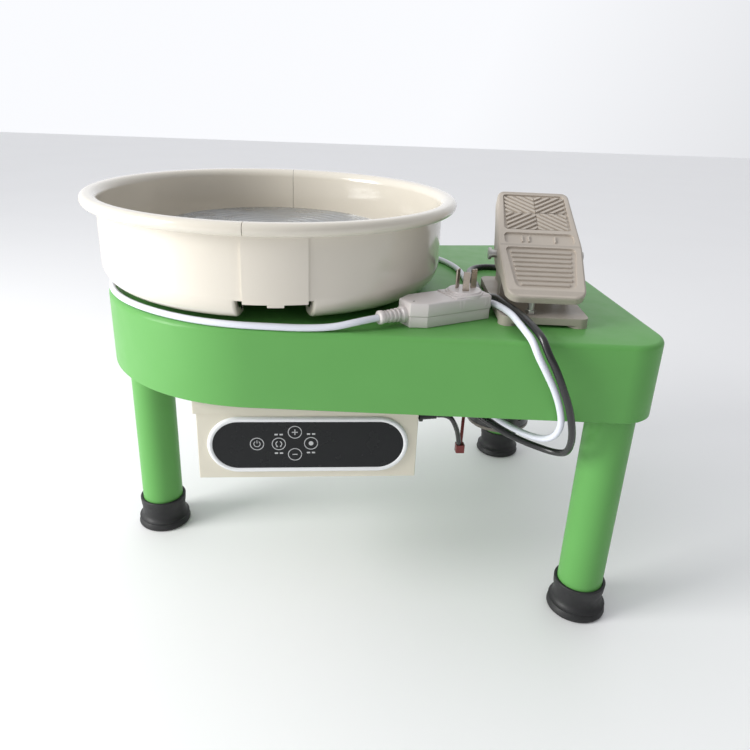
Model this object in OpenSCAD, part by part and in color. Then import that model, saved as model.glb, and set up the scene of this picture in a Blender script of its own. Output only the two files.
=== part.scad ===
// Table-top electric pottery wheel on three legs: splash pan, touch control box,
// foot pedal and mains lead. Millimetres, +Z up, the feet stand on z = 0.
// X runs along the table's line of symmetry, from the wheel towards the wide end.

/* [Table] */
// Height of the table top above the floor
table_h = 320.5; // [300:0.5:360]
// Radius of the table's round end, about the wheel's axis
nose_r = 178; // [175:1:190]
// Distance from the wheel's axis to the wide end's corner centres
corner_x = 335; // [320:1:360]
// Distance from the line of symmetry to each corner centre
corner_y = 174; // [165:1:185]
// Radius of the wide end's corners
corner_r = 38; // [30:1:45]
// Depth of the apron, top sheet included
apron_h = 77.5; // [70:0.5:90]
// Thickness of the steel sheet
sheet_t = 2.5; // [1.5:0.5:3]

/* [Legs] */
// Outer radius of a leg tube
leg_r = 24; // [20:1:26]
// Wall of a leg tube
leg_wall = 2; // [1.5:0.5:3]
// Distance from the wheel's axis to the left leg
left_leg_x = 146.5; // [140:0.5:148]
// Distance from the line of symmetry to each right leg
right_leg_y = 179.5; // [170:0.5:182]
// Height of a rubber foot
foot_h = 38; // [30:1:45]
// Radius of a rubber foot at the floor
foot_r = 31.5; // [28:0.5:36]

/* [Wheel] */
// Radius of the wheel head
head_r = 125; // [110:1:125]
// Height of the wheel head's top above the table
head_h = 60; // [46:1:62]
// Radius of the spindle
spindle_r = 10; // [10:1:10]
// Radius of the driven pulley
big_pulley_r = 75; // [60:1:80]
// Radius of the motor's pulley
small_pulley_r = 16; // [14:1:20]

/* [Splash pan] */
// Outer radius of the pan's rolled lip
rim_r = 197; // [195:1:200]
// Outer radius of the pan's wall
pan_r = 182; // [180:1:184]
// Height of the lip's middle above the table
rim_h = 93; // [85:1:100]
// Thickness of the moulded wall
pan_t = 3; // [2.5:0.5:3.5]
// Direction of the joint between the two halves
seam_deg = 85; // [80:1:90]

/* [Control box] */
// Width of the control box
box_w = 219; // [210:1:222]
// Width of the black touch panel
glass_w = 191; // [180:1:195]
// Height of the black touch panel
glass_h = 52; // [50:1:58]

/* [Pedal] */
// Width of the pedal's base
base_w = 86; // [80:1:90]
// Length of the pedal's base
base_l = 150; // [140:1:155]
// Length of the treadle along its face
tread_l = 150; // [140:1:155]
// Slope of the treadle at rest
tread_deg = 32; // [28:1:34]

/* [Mains lead] */
// Diameter of the white mains lead
mains_d = 6.5; // [6:0.5:7]
// Diameter of the black pedal cable
pedal_d = 7; // [5:0.5:7]
// Length of the plug's body
plug_l = 90; // [80:1:92]
// Width of the plug's body
plug_w = 36; // [32:1:37]
// Height of the plug's body
plug_h = 24; // [20:1:26]

/* [Hidden] */
$fn = 64;

// Colours
paint_green = [0.36, 0.68, 0.33];
ivory = [0.90, 0.89, 0.86];
cream = [0.86, 0.85, 0.79];
cast_grey = [0.66, 0.62, 0.57];
rubber_black = [0.08, 0.08, 0.085];
steel = [0.62, 0.63, 0.65];
zinc = [0.72, 0.72, 0.70];
aluminium = [0.78, 0.79, 0.80];
plug_white = [0.86, 0.83, 0.81];
cord_white = [0.90, 0.91, 0.95];
board_green = [0.10, 0.35, 0.20];
nickel = [0.62, 0.54, 0.47];

// Places: the model's origin is under the middle of its box
wheel_x = -(corner_x + corner_r - rim_r) / 2;
corners_x = wheel_x + corner_x;
sheet_z = table_h - sheet_t;
apron_z = table_h - apron_h;
legs = [[wheel_x - left_leg_x, 0], [corners_x + 1, -right_leg_y], [corners_x + 1, right_leg_y]];
table_circles = [[wheel_x, 0, nose_r], [corners_x, -corner_y, corner_r], [corners_x, corner_y, corner_r]];
gap = 0.3;

// Bearings and spindle
bearing_r = 23.5;
bearing_w = 14;
housing_r = 29;
housing_z = 290;
housing_top = table_h + 12;
flange_r = 52;
flange_t = 5;
bolt_r = 3;
bolt_hole_r = 3.2;
housing_pitch_r = 42;
pulley_z = 267;
pulley_w = 20;
belt_w = 14;
belt_t = 3;
spindle_z = 258;
head_t = 10;
head_top = table_h + head_h;
hub_flange_r = 34;
hub_r = 18;
hub_h = 20;

// Motor
motor_x = wheel_x + 260;
motor_y = -53;
motor_r = 35;
motor_z = 168;
motor_top = 254;
shaft_r = 6;
bracket_z = 260;
bracket_t = 4;

// Pan
floor_h = 19;
inner_fillet = 30;
skirt_fillet = 24;
skirt_h = 7;
skirt_in_r = 150;
collar_r = 45;
lip_r = 6;
lip_shoulder = 9;
half_gap = 0.2;
lap_deg = 1.5;
panel_deg = 16.7;
panel_out = 2.2;
notch_lead = 3.6;
notch_deg = 18.6;
notch_top = 28;
notch_in_r = 172.2;
panel_bottom = 26;

// Control box
box_x = wheel_x - 71;
box_y = -156.5;
box_d = 68;
box_z = 155;
box_top = 262;
box_t = 1.5;
cover_z = 227.5;
panel_x = box_x + 109.7;
panel_z = 193;
bezel_t = 3;
bezel_w = 4.8;
gland_x = box_x + box_w;

// Pedal frame: right, away and up from the base's front edge
pedal_at = [wheel_x + 262, -161, table_h];
pedal_turn = -5.7;
base_h = 9.7;
foot_rise = 3;
pivot_v = 65;
pivot_h = 55;
lip_h = 29.7;
tread_end_w = 75;
tread_mid_w = 84;
tread_top_w = 74;
tread_mid = 70;
pin_r = 4;
ear_t = 5;
ear_u = 33;

// Plug frame: along, across and up from the body's right-hand front corner
plug_at = [wheel_x + 215.8, -135.5, table_h];
plug_turn = 25.5;
chamfer_l = 15;
chamfer_w = 8;
relief_l = 28;
relief_h = 11;
disc_r = 18.5;
disc_h = 4;
disc_at = 21;
pin_h = 18.5;

// Route of the mains lead: gland, over the table's front edge, beside the pedal,
// behind the pan, round under its skirt and back along the front to the plug
mains_route = [
  [83, -130, 236], [97, -130.5, 236], [110, -133, 235], [124, -142, 230], [137, -152, 222.5],
  [150, -161, 216.5], [162.5, -171, 213.5], [172.5, -182.5, 214], [180, -195, 219],
  [184.3, -205.5, 229], [184.6, -212.8, 243.5], [180.1, -216.5, 260], [172, -218.5, 279],
  [161.7, -219.5, 297.1], [152.5, -217.5, 313], [148, -209.5, 324], [144.8, -197.5, 328.8],
  [142.3, -182, 331.8], [140.3, -165, 334], [137, -146, 334.3], [131.5, -124, 333], [128, -103, 327], 
  [126, -80, 323.8], [127, -50, 323.8], [129, -18, 323.8], [131, 16, 323.8], [131, 44, 323.8],
  [126, 72, 323.8], [116, 98, 323.8], [98, 121, 323.8], [74, 139, 323.8], [44, 151, 323.8],
  [10, 160, 323.8], [-25, 166, 323.8], [-60, 171, 323.8], [-94, 173, 323.8], [-128, 169, 323.8],
  [-161, 157, 323.8], [-191, 139, 323.8], [-217, 115, 323.8], [-238, 86, 323.8],
  [-253, 52, 323.8], [-260, 16, 323.8], [-260, -22, 323.8], [-252, -58, 323.8],
  [-236, -90, 323.8], [-213, -118, 323.8], [-184, -142, 323.8], [-152, -160, 323.8],
  [-118, -171, 323.8], [-84, -176, 323.8], [-54, -178.5, 323.8], [-28, -179.5, 325.5],
  [-6, -177, 329.5], [13.5, -170, 331.5]
];
// Route of the pedal cable: pedal, along its left side, over the front edge, to the box
pedal_route = [
  [198.3, 1.4, 336.5], [200, 18, 333.5], [199, 36, 328], [192, 51, 325], [179, 60, 324],
  [165, 60, 324], [152, 52, 324], [143.5, 38, 324], [140, 20, 324], [139, 0, 324], [138, -22, 324],
  [136, -42, 324], [134, -62, 324.2], [133.3, -81, 327], [134.3, -98, 332], [138, -113, 335.3],
  [141.7, -131, 335.3], [145, -150, 335], [148, -168, 335], [150.5, -185, 333.8], [153.2, -199, 331.3],
  [156.5, -211.5, 326.5], [161.3, -219, 315], [169.2, -221.5, 301], [178, -222, 283],
  [186.5, -221, 264], [193.3, -218, 243.5], [198.3, -211, 223.5], [199.3, -200.5, 207],
  [193.5, -187.5, 199.5], [181, -175.5, 198.5], [166, -166, 201], [150, -157, 206], [134.5, -145, 212],
  [121.5, -131, 217.5], [109, -119.5, 221], [96, -113.3, 222], [83, -112, 222]
];
// Routes of the two motor leads, which meet in a connector
black_lead_route = [
  [80, -150, 222], [88, -149.8, 221.5], [95, -149, 217.5], [100.5, -146.5, 208], [105, -142, 196],
  [108.5, -137, 181]
];
red_lead_route = [
  [111, -134, 181], [112, -131, 195], [114, -124, 209], [119, -112, 219], [126, -98, 224],
  [134, -84, 225], [141, -72, 225]
];

// ---------- shared shapes ----------

function unit(v) = v / norm(v);

// Direction of the outside tangent from circle a to circle b, each [x, y, r]
function tangent_deg(a, b) =
  atan2(b[1] - a[1], b[0] - a[0]) - acos((a[2] - b[2]) / norm([b[0] - a[0], b[1] - a[1]]));

// Corners of the straight-sided figure between circles listed anticlockwise
function tangent_points(circles) = [
  for (i = [0:len(circles) - 1])
    let (a = circles[i], b = circles[(i + 1) % len(circles)], t = tangent_deg(a, b))
      for (c = [a, b]) [c[0] + c[2] * cos(t), c[1] + c[2] * sin(t)]
];

// Points of the outline wrapped round circles, drawn in by inset, with its arcs in short steps
function wrapped_points(circles, inset = 0, step = 6) = [
  for (i = [0:len(circles) - 1])
    let (
      c = circles[i],
      before = circles[(i + len(circles) - 1) % len(circles)],
      start = tangent_deg(before, c),
      sweep = (tangent_deg(c, circles[(i + 1) % len(circles)]) - start + 720) % 360,
      steps = ceil(sweep / step),
      r = c[2] - inset
    )
      for (k = [0:steps]) let (a = start + sweep * k / steps) [c[0] + r * cos(a), c[1] + r * sin(a)]
];

// Outline wrapped round circles, drawn in by inset
module wrapped(circles, inset = 0) {
  drawn_in = [for (c = circles) [c[0], c[1], c[2] - inset]];
  polygon(tangent_points(drawn_in));
  for (c = drawn_in) translate([c[0], c[1]]) circle(r = c[2]);
}

// Ring or tube standing on z
module ring(r, hole, h, z = 0) {
  translate([0, 0, z]) difference() {
    cylinder(r = r, h = h);
    translate([0, 0, -1]) cylinder(r = hole, h = h + 2);
  }
}

// Screw with a round head, its head's underside at the origin and its shank downwards
module screw(r, l, head_r, head_h) {
  difference() {
    cylinder(r = head_r, h = head_h);
    translate([0, 0, head_h / 2]) cylinder(r = head_r / 2, h = head_h, $fn = 6);
  }
  translate([0, 0, -l]) cylinder(r = r, h = l + 0.01);
}

// Flat plate with round corners, standing on z = 0, its corner at the origin
module round_plate(w, l, h, r) {
  linear_extrude(h) {
    translate([r, 0]) square([w - 2 * r, l]);
    translate([0, r]) square([w, l - 2 * r]);
    for (x = [r, w - r], y = [r, l - r]) translate([x, y]) circle(r = r);
  }
}

// Ring normals carried along a route without twist
function carried(route, tangents, i, n) =
  i == len(route) ? [] :
    let (m = unit(n - (n * tangents[i]) * tangents[i])) concat([m], carried(route, tangents, i + 1, m));

// Round tube swept along a route
module tube(route, d, sides = 10) {
  last = len(route) - 1;
  tangents = [for (i = [0:last]) unit(route[min(i + 1, last)] - route[max(i - 1, 0)])];
  side_on = abs(tangents[0][2]) < 0.9 ? [0, 0, 1] : [1, 0, 0];
  normals = carried(route, tangents, 0, side_on);
  points = [
    for (i = [0:last]) for (k = [0:sides - 1])
      let (a = 360 * k / sides)
        route[i] + d / 2 * (cos(a) * normals[i] + sin(a) * cross(tangents[i], normals[i]))
  ];
  walls = [
    for (i = [0:last - 1]) for (k = [0:sides - 1])
      let (n = (k + 1) % sides)
        [i * sides + k, (i + 1) * sides + k, (i + 1) * sides + n, i * sides + n]
  ];
  near_end = [[for (k = [0:sides - 1]) k]];
  far_end = [[for (k = [sides - 1:-1:0]) last * sides + k]];
  polyhedron(points, concat(walls, near_end, far_end));
}

module at_wheel() translate([wheel_x, 0, 0]) children();
module at_motor() translate([motor_x, motor_y, 0]) children();
module at_pedal() translate(pedal_at) rotate([0, 0, pedal_turn]) children();
module at_plug() translate(plug_at) rotate([0, 0, plug_turn]) children();

// ---------- table and legs ----------

module table_top() color(paint_green) difference() {
  translate([0, 0, sheet_z]) linear_extrude(sheet_t) wrapped(table_circles);
  at_wheel() {
    translate([0, 0, sheet_z - 1]) cylinder(r = housing_r + gap, h = sheet_t + 2);
    for (a = [45:90:315]) rotate([0, 0, a])
      translate([housing_pitch_r, 0, sheet_z - 1]) cylinder(r = bolt_hole_r, h = sheet_t + 2);
  }
}

module table_apron() color(paint_green) difference() {
  translate([0, 0, apron_z]) linear_extrude(apron_h - sheet_t) wrapped(table_circles);
  translate([0, 0, apron_z - 1]) linear_extrude(apron_h) wrapped(table_circles, sheet_t);
}

socket_r = leg_r - leg_wall - gap;
socket_l = 60;
socket_flange_t = 4;
screw_drop = 40;

module leg_sockets() color(paint_green) for (p = legs) translate([p[0], p[1], 0]) difference() {
  union() {
    translate([0, 0, sheet_z - socket_flange_t]) cylinder(r = leg_r + 3, h = socket_flange_t);
    translate([0, 0, sheet_z - socket_l]) cylinder(r = socket_r, h = socket_l);
  }
  translate([0, 0, sheet_z - socket_l - 1]) cylinder(r = socket_r - 3, h = socket_l - socket_flange_t);
  leg_screw_hole(p);
}

// Cross hole for a leg's locking screw, on the side that faces the table's middle
module leg_screw_hole(p) {
  rotate([0, 0, atan2(-p[1], -p[0])]) translate([0, 0, sheet_z - screw_drop])
    rotate([0, 90, 0]) cylinder(r = bolt_hole_r, h = leg_r + 5);
}

foot_floor = 8;

module leg(p) color(paint_green) translate([p[0], p[1], 0]) difference() {
  ring(leg_r, leg_r - leg_wall, sheet_z - socket_flange_t - foot_floor, foot_floor);
  leg_screw_hole(p);
}

module leg_left() leg(legs[0]);
module leg_front_right() leg(legs[1]);
module leg_back_right() leg(legs[2]);

module leg_screws() color(zinc) for (p = legs) translate([p[0], p[1], sheet_z - screw_drop])
  rotate([0, 0, atan2(-p[1], -p[0])]) translate([leg_r, 0, 0]) rotate([0, 90, 0]) screw(bolt_r, 10, 6, 4);

// Rubber cup: a flared base, a hollow waist and a thicker collar
module foot(p) color(rubber_black) translate([p[0], p[1], 0]) rotate_extrude() difference() {
  waist_r = leg_r + 2.5;
  flare = 14;
  union() {
    square([waist_r, foot_h]);
    translate([0, foot_h - 9]) square([waist_r + 1, 9]);
    square([foot_r, 6]);
    difference() {
      square([foot_r - 0.8, 18]);
      translate([waist_r + flare, 19]) circle(r = flare);
    }
  }
  translate([-1, foot_floor]) square([leg_r + 1.1, foot_h]);
}

module foot_left() foot(legs[0]);
module foot_front_right() foot(legs[1]);
module foot_back_right() foot(legs[2]);

// ---------- spindle ----------

module bearing_housing() color(steel) at_wheel() difference() {
  union() {
    translate([0, 0, housing_z]) cylinder(r = housing_r, h = housing_top - housing_z);
    translate([0, 0, sheet_z - flange_t]) cylinder(r = flange_r, h = flange_t);
  }
  translate([0, 0, housing_z + 2]) cylinder(r = bearing_r, h = housing_top);
  translate([0, 0, housing_z - 1]) cylinder(r = 15, h = 10);
  for (a = [45:90:315]) rotate([0, 0, a])
    translate([housing_pitch_r, 0, sheet_z - flange_t - 1]) cylinder(r = bolt_hole_r, h = flange_t + 2);
}

module housing_bolts() color(zinc) at_wheel() for (a = [45:90:315]) rotate([0, 0, a])
  translate([housing_pitch_r, 0, 0]) {
    translate([0, 0, table_h]) screw(bolt_r, 14, 5, 4);
    ring(5, bolt_r, 4, sheet_z - flange_t - 4);
  }

// Ball bearing: two races, a shield and the true bore
module bearing(z) color(steel) at_wheel() translate([0, 0, z]) difference() {
  cylinder(r = bearing_r - 0.03, h = bearing_w);
  translate([0, 0, -1]) cylinder(r = spindle_r + 0.05, h = bearing_w + 2);
  for (s = [-1, bearing_w - 0.8]) ring(19.5, 14, 1.8, s);
}

module bearing_upper() bearing(housing_top - bearing_w);
module bearing_lower() bearing(housing_z + 2);

module spindle() color(steel) at_wheel() difference() {
  union() {
    translate([0, 0, spindle_z]) cylinder(r = spindle_r, h = head_top - head_t - spindle_z);
    ring(13, spindle_r - 1, 2, housing_top + 0.5);
  }
  translate([0, 0, spindle_z - 1]) cylinder(r = 3, h = 12);
}

module wheel_head() color(aluminium) at_wheel() difference() {
  translate([0, 0, head_top - head_t]) cylinder(r = head_r, h = head_t);
  for (r = [25:12.5:112.5]) ring(r + 0.5, r - 0.5, 2, head_top - 0.8);
  for (a = [0:120:240]) rotate([0, 0, a])
    translate([26, 0, head_top - head_t - 1]) cylinder(r = 2.6, h = head_t - 2);
}

module wheel_hub() color(steel) at_wheel() difference() {
  union() {
    translate([0, 0, head_top - head_t - 5]) cylinder(r = hub_flange_r, h = 5);
    translate([0, 0, head_top - head_t - hub_h]) cylinder(r = hub_r, h = hub_h);
  }
  translate([0, 0, head_top - head_t - hub_h - 1]) cylinder(r = spindle_r + 0.02, h = hub_h + 2);
  for (a = [0:120:240]) rotate([0, 0, a])
    translate([26, 0, head_top - head_t - 6]) cylinder(r = 2.6, h = 7);
}

module hub_screws() color(zinc) at_wheel() for (a = [0:120:240]) rotate([0, 0, a])
  translate([26, 0, head_top - head_t - 5]) rotate([180, 0, 0]) screw(2.5, 12, 4.5, 3);

// ---------- drive ----------

// Flat-belt pulley with a flange above and below the belt
module pulley(r, bore, z) translate([0, 0, z]) difference() {
  union() {
    cylinder(r = r - gap, h = pulley_w);
    for (s = [0, pulley_w - 2.5]) translate([0, 0, s]) cylinder(r = r + belt_t + 1.5, h = 2.5);
  }
  translate([0, 0, -1]) cylinder(r = bore, h = pulley_w + 2);
}

module driven_pulley() color(aluminium) at_wheel() difference() {
  pulley(big_pulley_r, spindle_r + 0.02, pulley_z);
  for (a = [0:60:300]) rotate([0, 0, a])
    translate([45, 0, pulley_z - 1]) cylinder(r = 14, h = pulley_w + 2);
}

belt_circles = [[wheel_x, 0, big_pulley_r], [motor_x, motor_y, small_pulley_r]];

module drive_belt() color(rubber_black)
  translate([0, 0, pulley_z + (pulley_w - belt_w) / 2]) linear_extrude(belt_w) difference() {
    polygon(wrapped_points(belt_circles, -belt_t));
    polygon(wrapped_points(belt_circles));
  }

module motor_body() color(rubber_black) at_motor() difference() {
  translate([0, 0, motor_z + 5]) cylinder(r = motor_r, h = motor_top - motor_z - 5);
  for (a = [0:30:330]) rotate([0, 0, a])
    translate([motor_r - 1, -2, motor_z + 14]) cube([4, 4, 56]);
  translate([0, 0, motor_top - 20]) cylinder(r = shaft_r + gap, h = 30);
}

// Dark steel end bell with a stepped rim
module motor_end_ring() color(steel) at_motor() difference() {
  union() {
    translate([0, 0, motor_z]) cylinder(r = motor_r - 2, h = 3);
    translate([0, 0, motor_z + 2]) cylinder(r = motor_r + 0.5, h = 3);
  }
  translate([0, 0, motor_z - 1]) cylinder(r = 11, h = 3);
  for (a = [0:90:270]) rotate([0, 0, a])
    translate([27, 0, motor_z - 1]) cylinder(r = 2, h = 3);
}

motor_pitch_r = 28;

module motor_flange() color(steel) at_motor() difference() {
  translate([0, 0, motor_top]) cylinder(r = motor_r + 2, h = bracket_z - motor_top);
  translate([0, 0, motor_top - 1]) cylinder(r = shaft_r + gap, h = 10);
  for (a = [45:90:315]) rotate([0, 0, a])
    translate([motor_pitch_r, 0, motor_top - 1]) cylinder(r = 2.6, h = 10);
}

module motor_bolts() color(zinc) at_motor() for (a = [45:90:315]) rotate([0, 0, a])
  translate([motor_pitch_r, 0, bracket_z + bracket_t]) screw(2.5, 9.5, 4, 2.4);

bracket_w = 120;
bracket_l = 84;
post_inset = 8;
post_r = 6;
post_places = [
  for (x = [post_inset, bracket_w - post_inset], y = [post_inset, bracket_l - post_inset])
    [motor_x - bracket_w / 2 + x, motor_y - bracket_l / 2 + y]
];

module motor_bracket() color(steel) difference() {
  translate([motor_x - bracket_w / 2, motor_y - bracket_l / 2, bracket_z])
    round_plate(bracket_w, bracket_l, bracket_t, post_inset);
  at_motor() {
    translate([0, 0, bracket_z - 1]) cylinder(r = 12, h = bracket_t + 2);
    for (a = [45:90:315]) rotate([0, 0, a])
      translate([motor_pitch_r, 0, bracket_z - 1]) cylinder(r = 2.6, h = bracket_t + 2);
  }
  for (p = post_places) translate([p[0], p[1], bracket_z - 1]) cylinder(r = 3.2, h = bracket_t + 2);
}

// Welded pillars under the table, each with the stud and nut that carry the bracket
module bracket_posts() color(steel) for (p = post_places) translate([p[0], p[1], 0]) {
  translate([0, 0, bracket_z + bracket_t]) cylinder(r = post_r, h = sheet_z - bracket_z - bracket_t);
  translate([0, 0, bracket_z - 7]) cylinder(r = 3, h = 8 + bracket_t);
  ring(5.5, 2.9, 4.5, bracket_z - 4.5);
}

module motor_shaft() color(steel) at_motor()
  translate([0, 0, motor_top - 18]) cylinder(r = shaft_r, h = pulley_z + pulley_w + 2 - motor_top + 18);

module motor_pulley() color(aluminium) at_motor() difference() {
  pulley(small_pulley_r, shaft_r + 0.02, pulley_z);
}

// ---------- splash pan ----------

pad_r = 9;
pad_place_r = 132;
pad_gap = 0.03;

module basin_seat() color(rubber_black) at_wheel() ring(66, 54, floor_h, table_h);

module basin_pads() color(rubber_black) at_wheel() for (a = [-50, 50, 130, 230])
  rotate([0, 0, a + seam_deg - 90]) translate([pad_place_r, 0, table_h])
    cylinder(r = pad_r, h = floor_h - pad_gap);

// Filled section of a bowl of wall radius r, floor height z and floor fillet f, up to the lip
module bowl_section(r, z, f) {
  translate([0, z + f]) square([r, rim_h - z - f]);
  translate([0, z]) square([r - f, f + 1]);
  translate([r - f, z + f]) circle(r = f);
}

// Section of the pan's wall, floor, inner collar, lip and outer skirt
module pan_section() {
  inner_r = pan_r - pan_t;
  skirt_r = pan_r - skirt_fillet;
  skirt_z = skirt_h + skirt_fillet;
  lip_z = rim_h - 3;
  difference() {
    bowl_section(pan_r, floor_h, inner_fillet + pan_t);
    bowl_section(inner_r, floor_h + pan_t, inner_fillet);
    translate([-1, 0]) square([collar_r + 1, rim_h + 1]);
    translate([-1, lip_z]) square([rim_r, lip_r + 2]);
  }
  translate([collar_r, floor_h]) square([pan_t, 15]);
  // lip: a round inner shoulder running out to the rolled edge
  polygon(concat(
    [for (a = [0:15:90]) [inner_r + lip_shoulder * (1 - cos(a)), lip_z + lip_shoulder * sin(a)]],
    [[rim_r - lip_r, rim_h + lip_r], [rim_r - lip_r, lip_z], [inner_r, lip_z]]
  ));
  translate([rim_r - lip_r, rim_h]) circle(r = lip_r);
  // skirt: runs down outside the bowl and turns in under it
  translate([inner_r + 0.4, skirt_z]) square([pan_t - 0.4, inner_fillet]);
  difference() {
    translate([skirt_r, skirt_z]) circle(r = skirt_fillet);
    translate([skirt_r, skirt_z]) circle(r = skirt_fillet - pan_t);
    translate([0, skirt_z]) square([rim_r, skirt_fillet + 1]);
    translate([0, 0]) square([skirt_r, skirt_z + 1]);
  }
  translate([skirt_in_r, skirt_h]) square([skirt_r - skirt_in_r, pan_t]);
}

// Sector of a ring, from a to b degrees, standing on z
module ring_sector(r, hole, a, b, z, h) {
  translate([0, 0, z]) rotate([0, 0, a])
    rotate_extrude(angle = b - a) translate([hole, 0]) square([r - hole, h]);
}

// Space of a notch, which cuts the skirt away and stays clear of the bowl above it
module skirt_notch(a, b) {
  ring_sector(pan_r + 1, notch_in_r, a, b, 0, notch_top);
  ring_sector(notch_in_r + 1, skirt_in_r - 0.7, a, b, 0, floor_h - 0.5);
}

// One half of the pan: both halves are the same moulding, turned half a turn.
// Its joint panel laps over the other half's edge, and a notch is cut under each joint.
module pan_half(turn) at_wheel() translate([0, 0, table_h]) rotate([0, 0, seam_deg + turn]) {
  difference() {
    rotate_extrude(angle = 180) pan_section();
    translate([-rim_r - 1, -1, 0]) cube([2 * rim_r + 2, 1 + half_gap, rim_h + lip_r + 1]);
    skirt_notch(-1, notch_deg);
    skirt_notch(180 - notch_lead, 181);
  }
  panel_l = rim_h - 3.5 - panel_bottom;
  ring_sector(pan_r + panel_out, pan_r - 0.5, lap_deg, panel_deg, panel_bottom, panel_l);
  ring_sector(pan_r + panel_out - 0.2, pan_r + gap, -lap_deg, lap_deg + 0.3, panel_bottom + 0.4, panel_l - 1);
  ring_sector(pan_r + 1.6, pan_r + 0.3, 5.5, 10.2, panel_bottom - 3, 4);
}

module basin_half_left() color(ivory) pan_half(0);
module basin_half_right() color(ivory) pan_half(180);

// ---------- control box ----------

board_t = 1.6;
hanger_w = 16;
hanger_xs = [box_x + 30, box_x + box_w - 46];

// Stadium-shaped outline, upright on the box's front, drawn in by inset
module stadium(inset) {
  r = glass_h / 2 + bezel_w - inset;
  hull() for (s = [-1, 1]) translate([s * (glass_w - glass_h) / 2, 0]) circle(r = r, $fn = 96);
}

// Places a drawing on the front of the box, growing forwards from y
module on_front(y, h) translate([panel_x, y, panel_z]) rotate([90, 0, 0]) linear_extrude(h) children();

// Cable holes in the box's right-hand side: [y, z, radius]
gland_holes = [[-130, 236, 5], [-112, 222, 5], [-150, 222, 4]];

module control_box() color(cream) difference() {
  translate([box_x, box_y, box_z]) cube([box_w, box_d, box_top - box_z]);
  translate([box_x + box_t, box_y + box_t, box_z + box_t])
    cube([box_w - 2 * box_t, box_d - 2 * box_t, box_top]);
  translate([panel_x - glass_w / 2 + 20, box_y - 1, panel_z - 18]) cube([glass_w - 40, box_t + 2, 36]);
  for (g = gland_holes) translate([gland_x - 5, g[0], g[1]]) rotate([0, 90, 0]) cylinder(r = g[2], h = 10);
}

// Lid: a shallow tray turned over the box, standing a little proud of its left side
module control_cover() color(cream) difference() {
  translate([box_x - 3, box_y - box_t - 0.1, cover_z])
    cube([box_w + 3 + box_t + 0.1, box_d + 2 * box_t + 0.2, box_top + box_t - cover_z]);
  translate([box_x - 3 + box_t, box_y - 0.1, cover_z - 1])
    cube([box_w + 3 - box_t + 0.1, box_d + 0.2, box_top - cover_z + 1]);
  translate([gland_x - 4, -130, 236]) rotate([0, 90, 0]) cylinder(r = 9, h = 10);
  for (x = hanger_xs) translate([x + hanger_w / 2, box_y + box_d / 2, box_top - 1])
    cylinder(r = 2.2, h = box_t + 2);
}

// Straps that hang the box from the underside of the table
module box_hangers() color(steel) for (x = hanger_xs) translate([x, box_y + 14, 0]) difference() {
  union() {
    translate([0, 0, box_top + box_t]) cube([hanger_w, box_d - 28, 2]);
    for (y = [0, box_d - 30]) translate([0, y, box_top + box_t])
      cube([hanger_w, 2, sheet_z - box_top - box_t]);
  }
  translate([hanger_w / 2, box_d / 2 - 14, box_top]) cylinder(r = 2.2, h = 10);
}

module box_screws() color(zinc) {
  for (x = hanger_xs) translate([x + hanger_w / 2, box_y + box_d / 2, box_top + box_t + 2]) screw(2, 7, 4, 2);
  for (x = [box_x + 12, box_x + box_w - 12], s = [-1, 1])
    translate([x, box_y + box_d / 2 + s * (box_d / 2 + box_t + 0.1), cover_z + 23])
      rotate([-90 * s, 0, 0]) screw(1.5, 5, 3, 1.4);
}

module panel_bezel() color("white") on_front(box_y, bezel_t) difference() {
  stadium(0);
  stadium(bezel_w);
}

module panel_glass() color([0.09, 0.10, 0.11]) on_front(box_y, bezel_t - 1) stadium(bezel_w + 0.2);

module touch_board() color(board_green)
  translate([panel_x - glass_w / 2 + 22, box_y + box_t + 1, panel_z - 16]) {
    cube([glass_w - 44, board_t, 32]);
    for (x = [16, 60, 104]) translate([x, board_t, 10]) cube([12, 3, 12]);
  }

module controller_board() color(board_green) translate([box_x + 12, box_y + 16, box_z + box_t]) {
  translate([0, 0, 6]) cube([box_w - 40, 44, board_t]);
  for (x = [3, box_w - 43], y = [3, 41]) translate([x, y, 0]) cylinder(r = 2.5, h = 6.01);
  for (x = [16, 38]) translate([x, 22, 6 + board_t - 0.01]) cylinder(r = 9, h = 28);
  translate([62, 8, 6 + board_t - 0.01]) cube([36, 30, 22]);
  for (i = [0:6]) translate([110 + 7 * i, 4, 6 + board_t - 0.01]) cube([2.5, 36, 26]);
  translate([108, 4, 6 + board_t - 0.01]) cube([48, 36, 3]);
}

// Strain relief through the box's side, pointing right: a washer and a tapered sleeve
module gland(g, d, l) translate([gland_x, g[0], g[1]]) rotate([0, 90, 0]) {
  translate([0, 0, box_t + 0.15]) cylinder(r = g[2] + 2.5, h = 3);
  translate([0, 0, -3]) cylinder(r = g[2] - 0.1, h = 5);
  translate([0, 0, 4]) cylinder(r1 = g[2] + 0.6, r2 = d / 2 + 1, h = l - 4);
}

module mains_gland() color(plug_white) gland(gland_holes[0], mains_d, 22);
module pedal_lead_gland() color(rubber_black) gland(gland_holes[1], pedal_d, 22);
module motor_lead_gland() color(rubber_black) gland(gland_holes[2], 5, 19);

// ---------- pedal ----------

base_corner_r = 9;
base_plate_z = foot_rise;
case_u = 27;
case_v = [82, 142];
case_h = 54;
ear_r = 8.5;
stop_at = [-12, 12];
stop_top = 30;
pressed_deg = 6;
sensor_h = 42;
bumper_r = 7;
bumper_gap = 1;
bumper_v = 128;
cable_u = 8;

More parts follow.
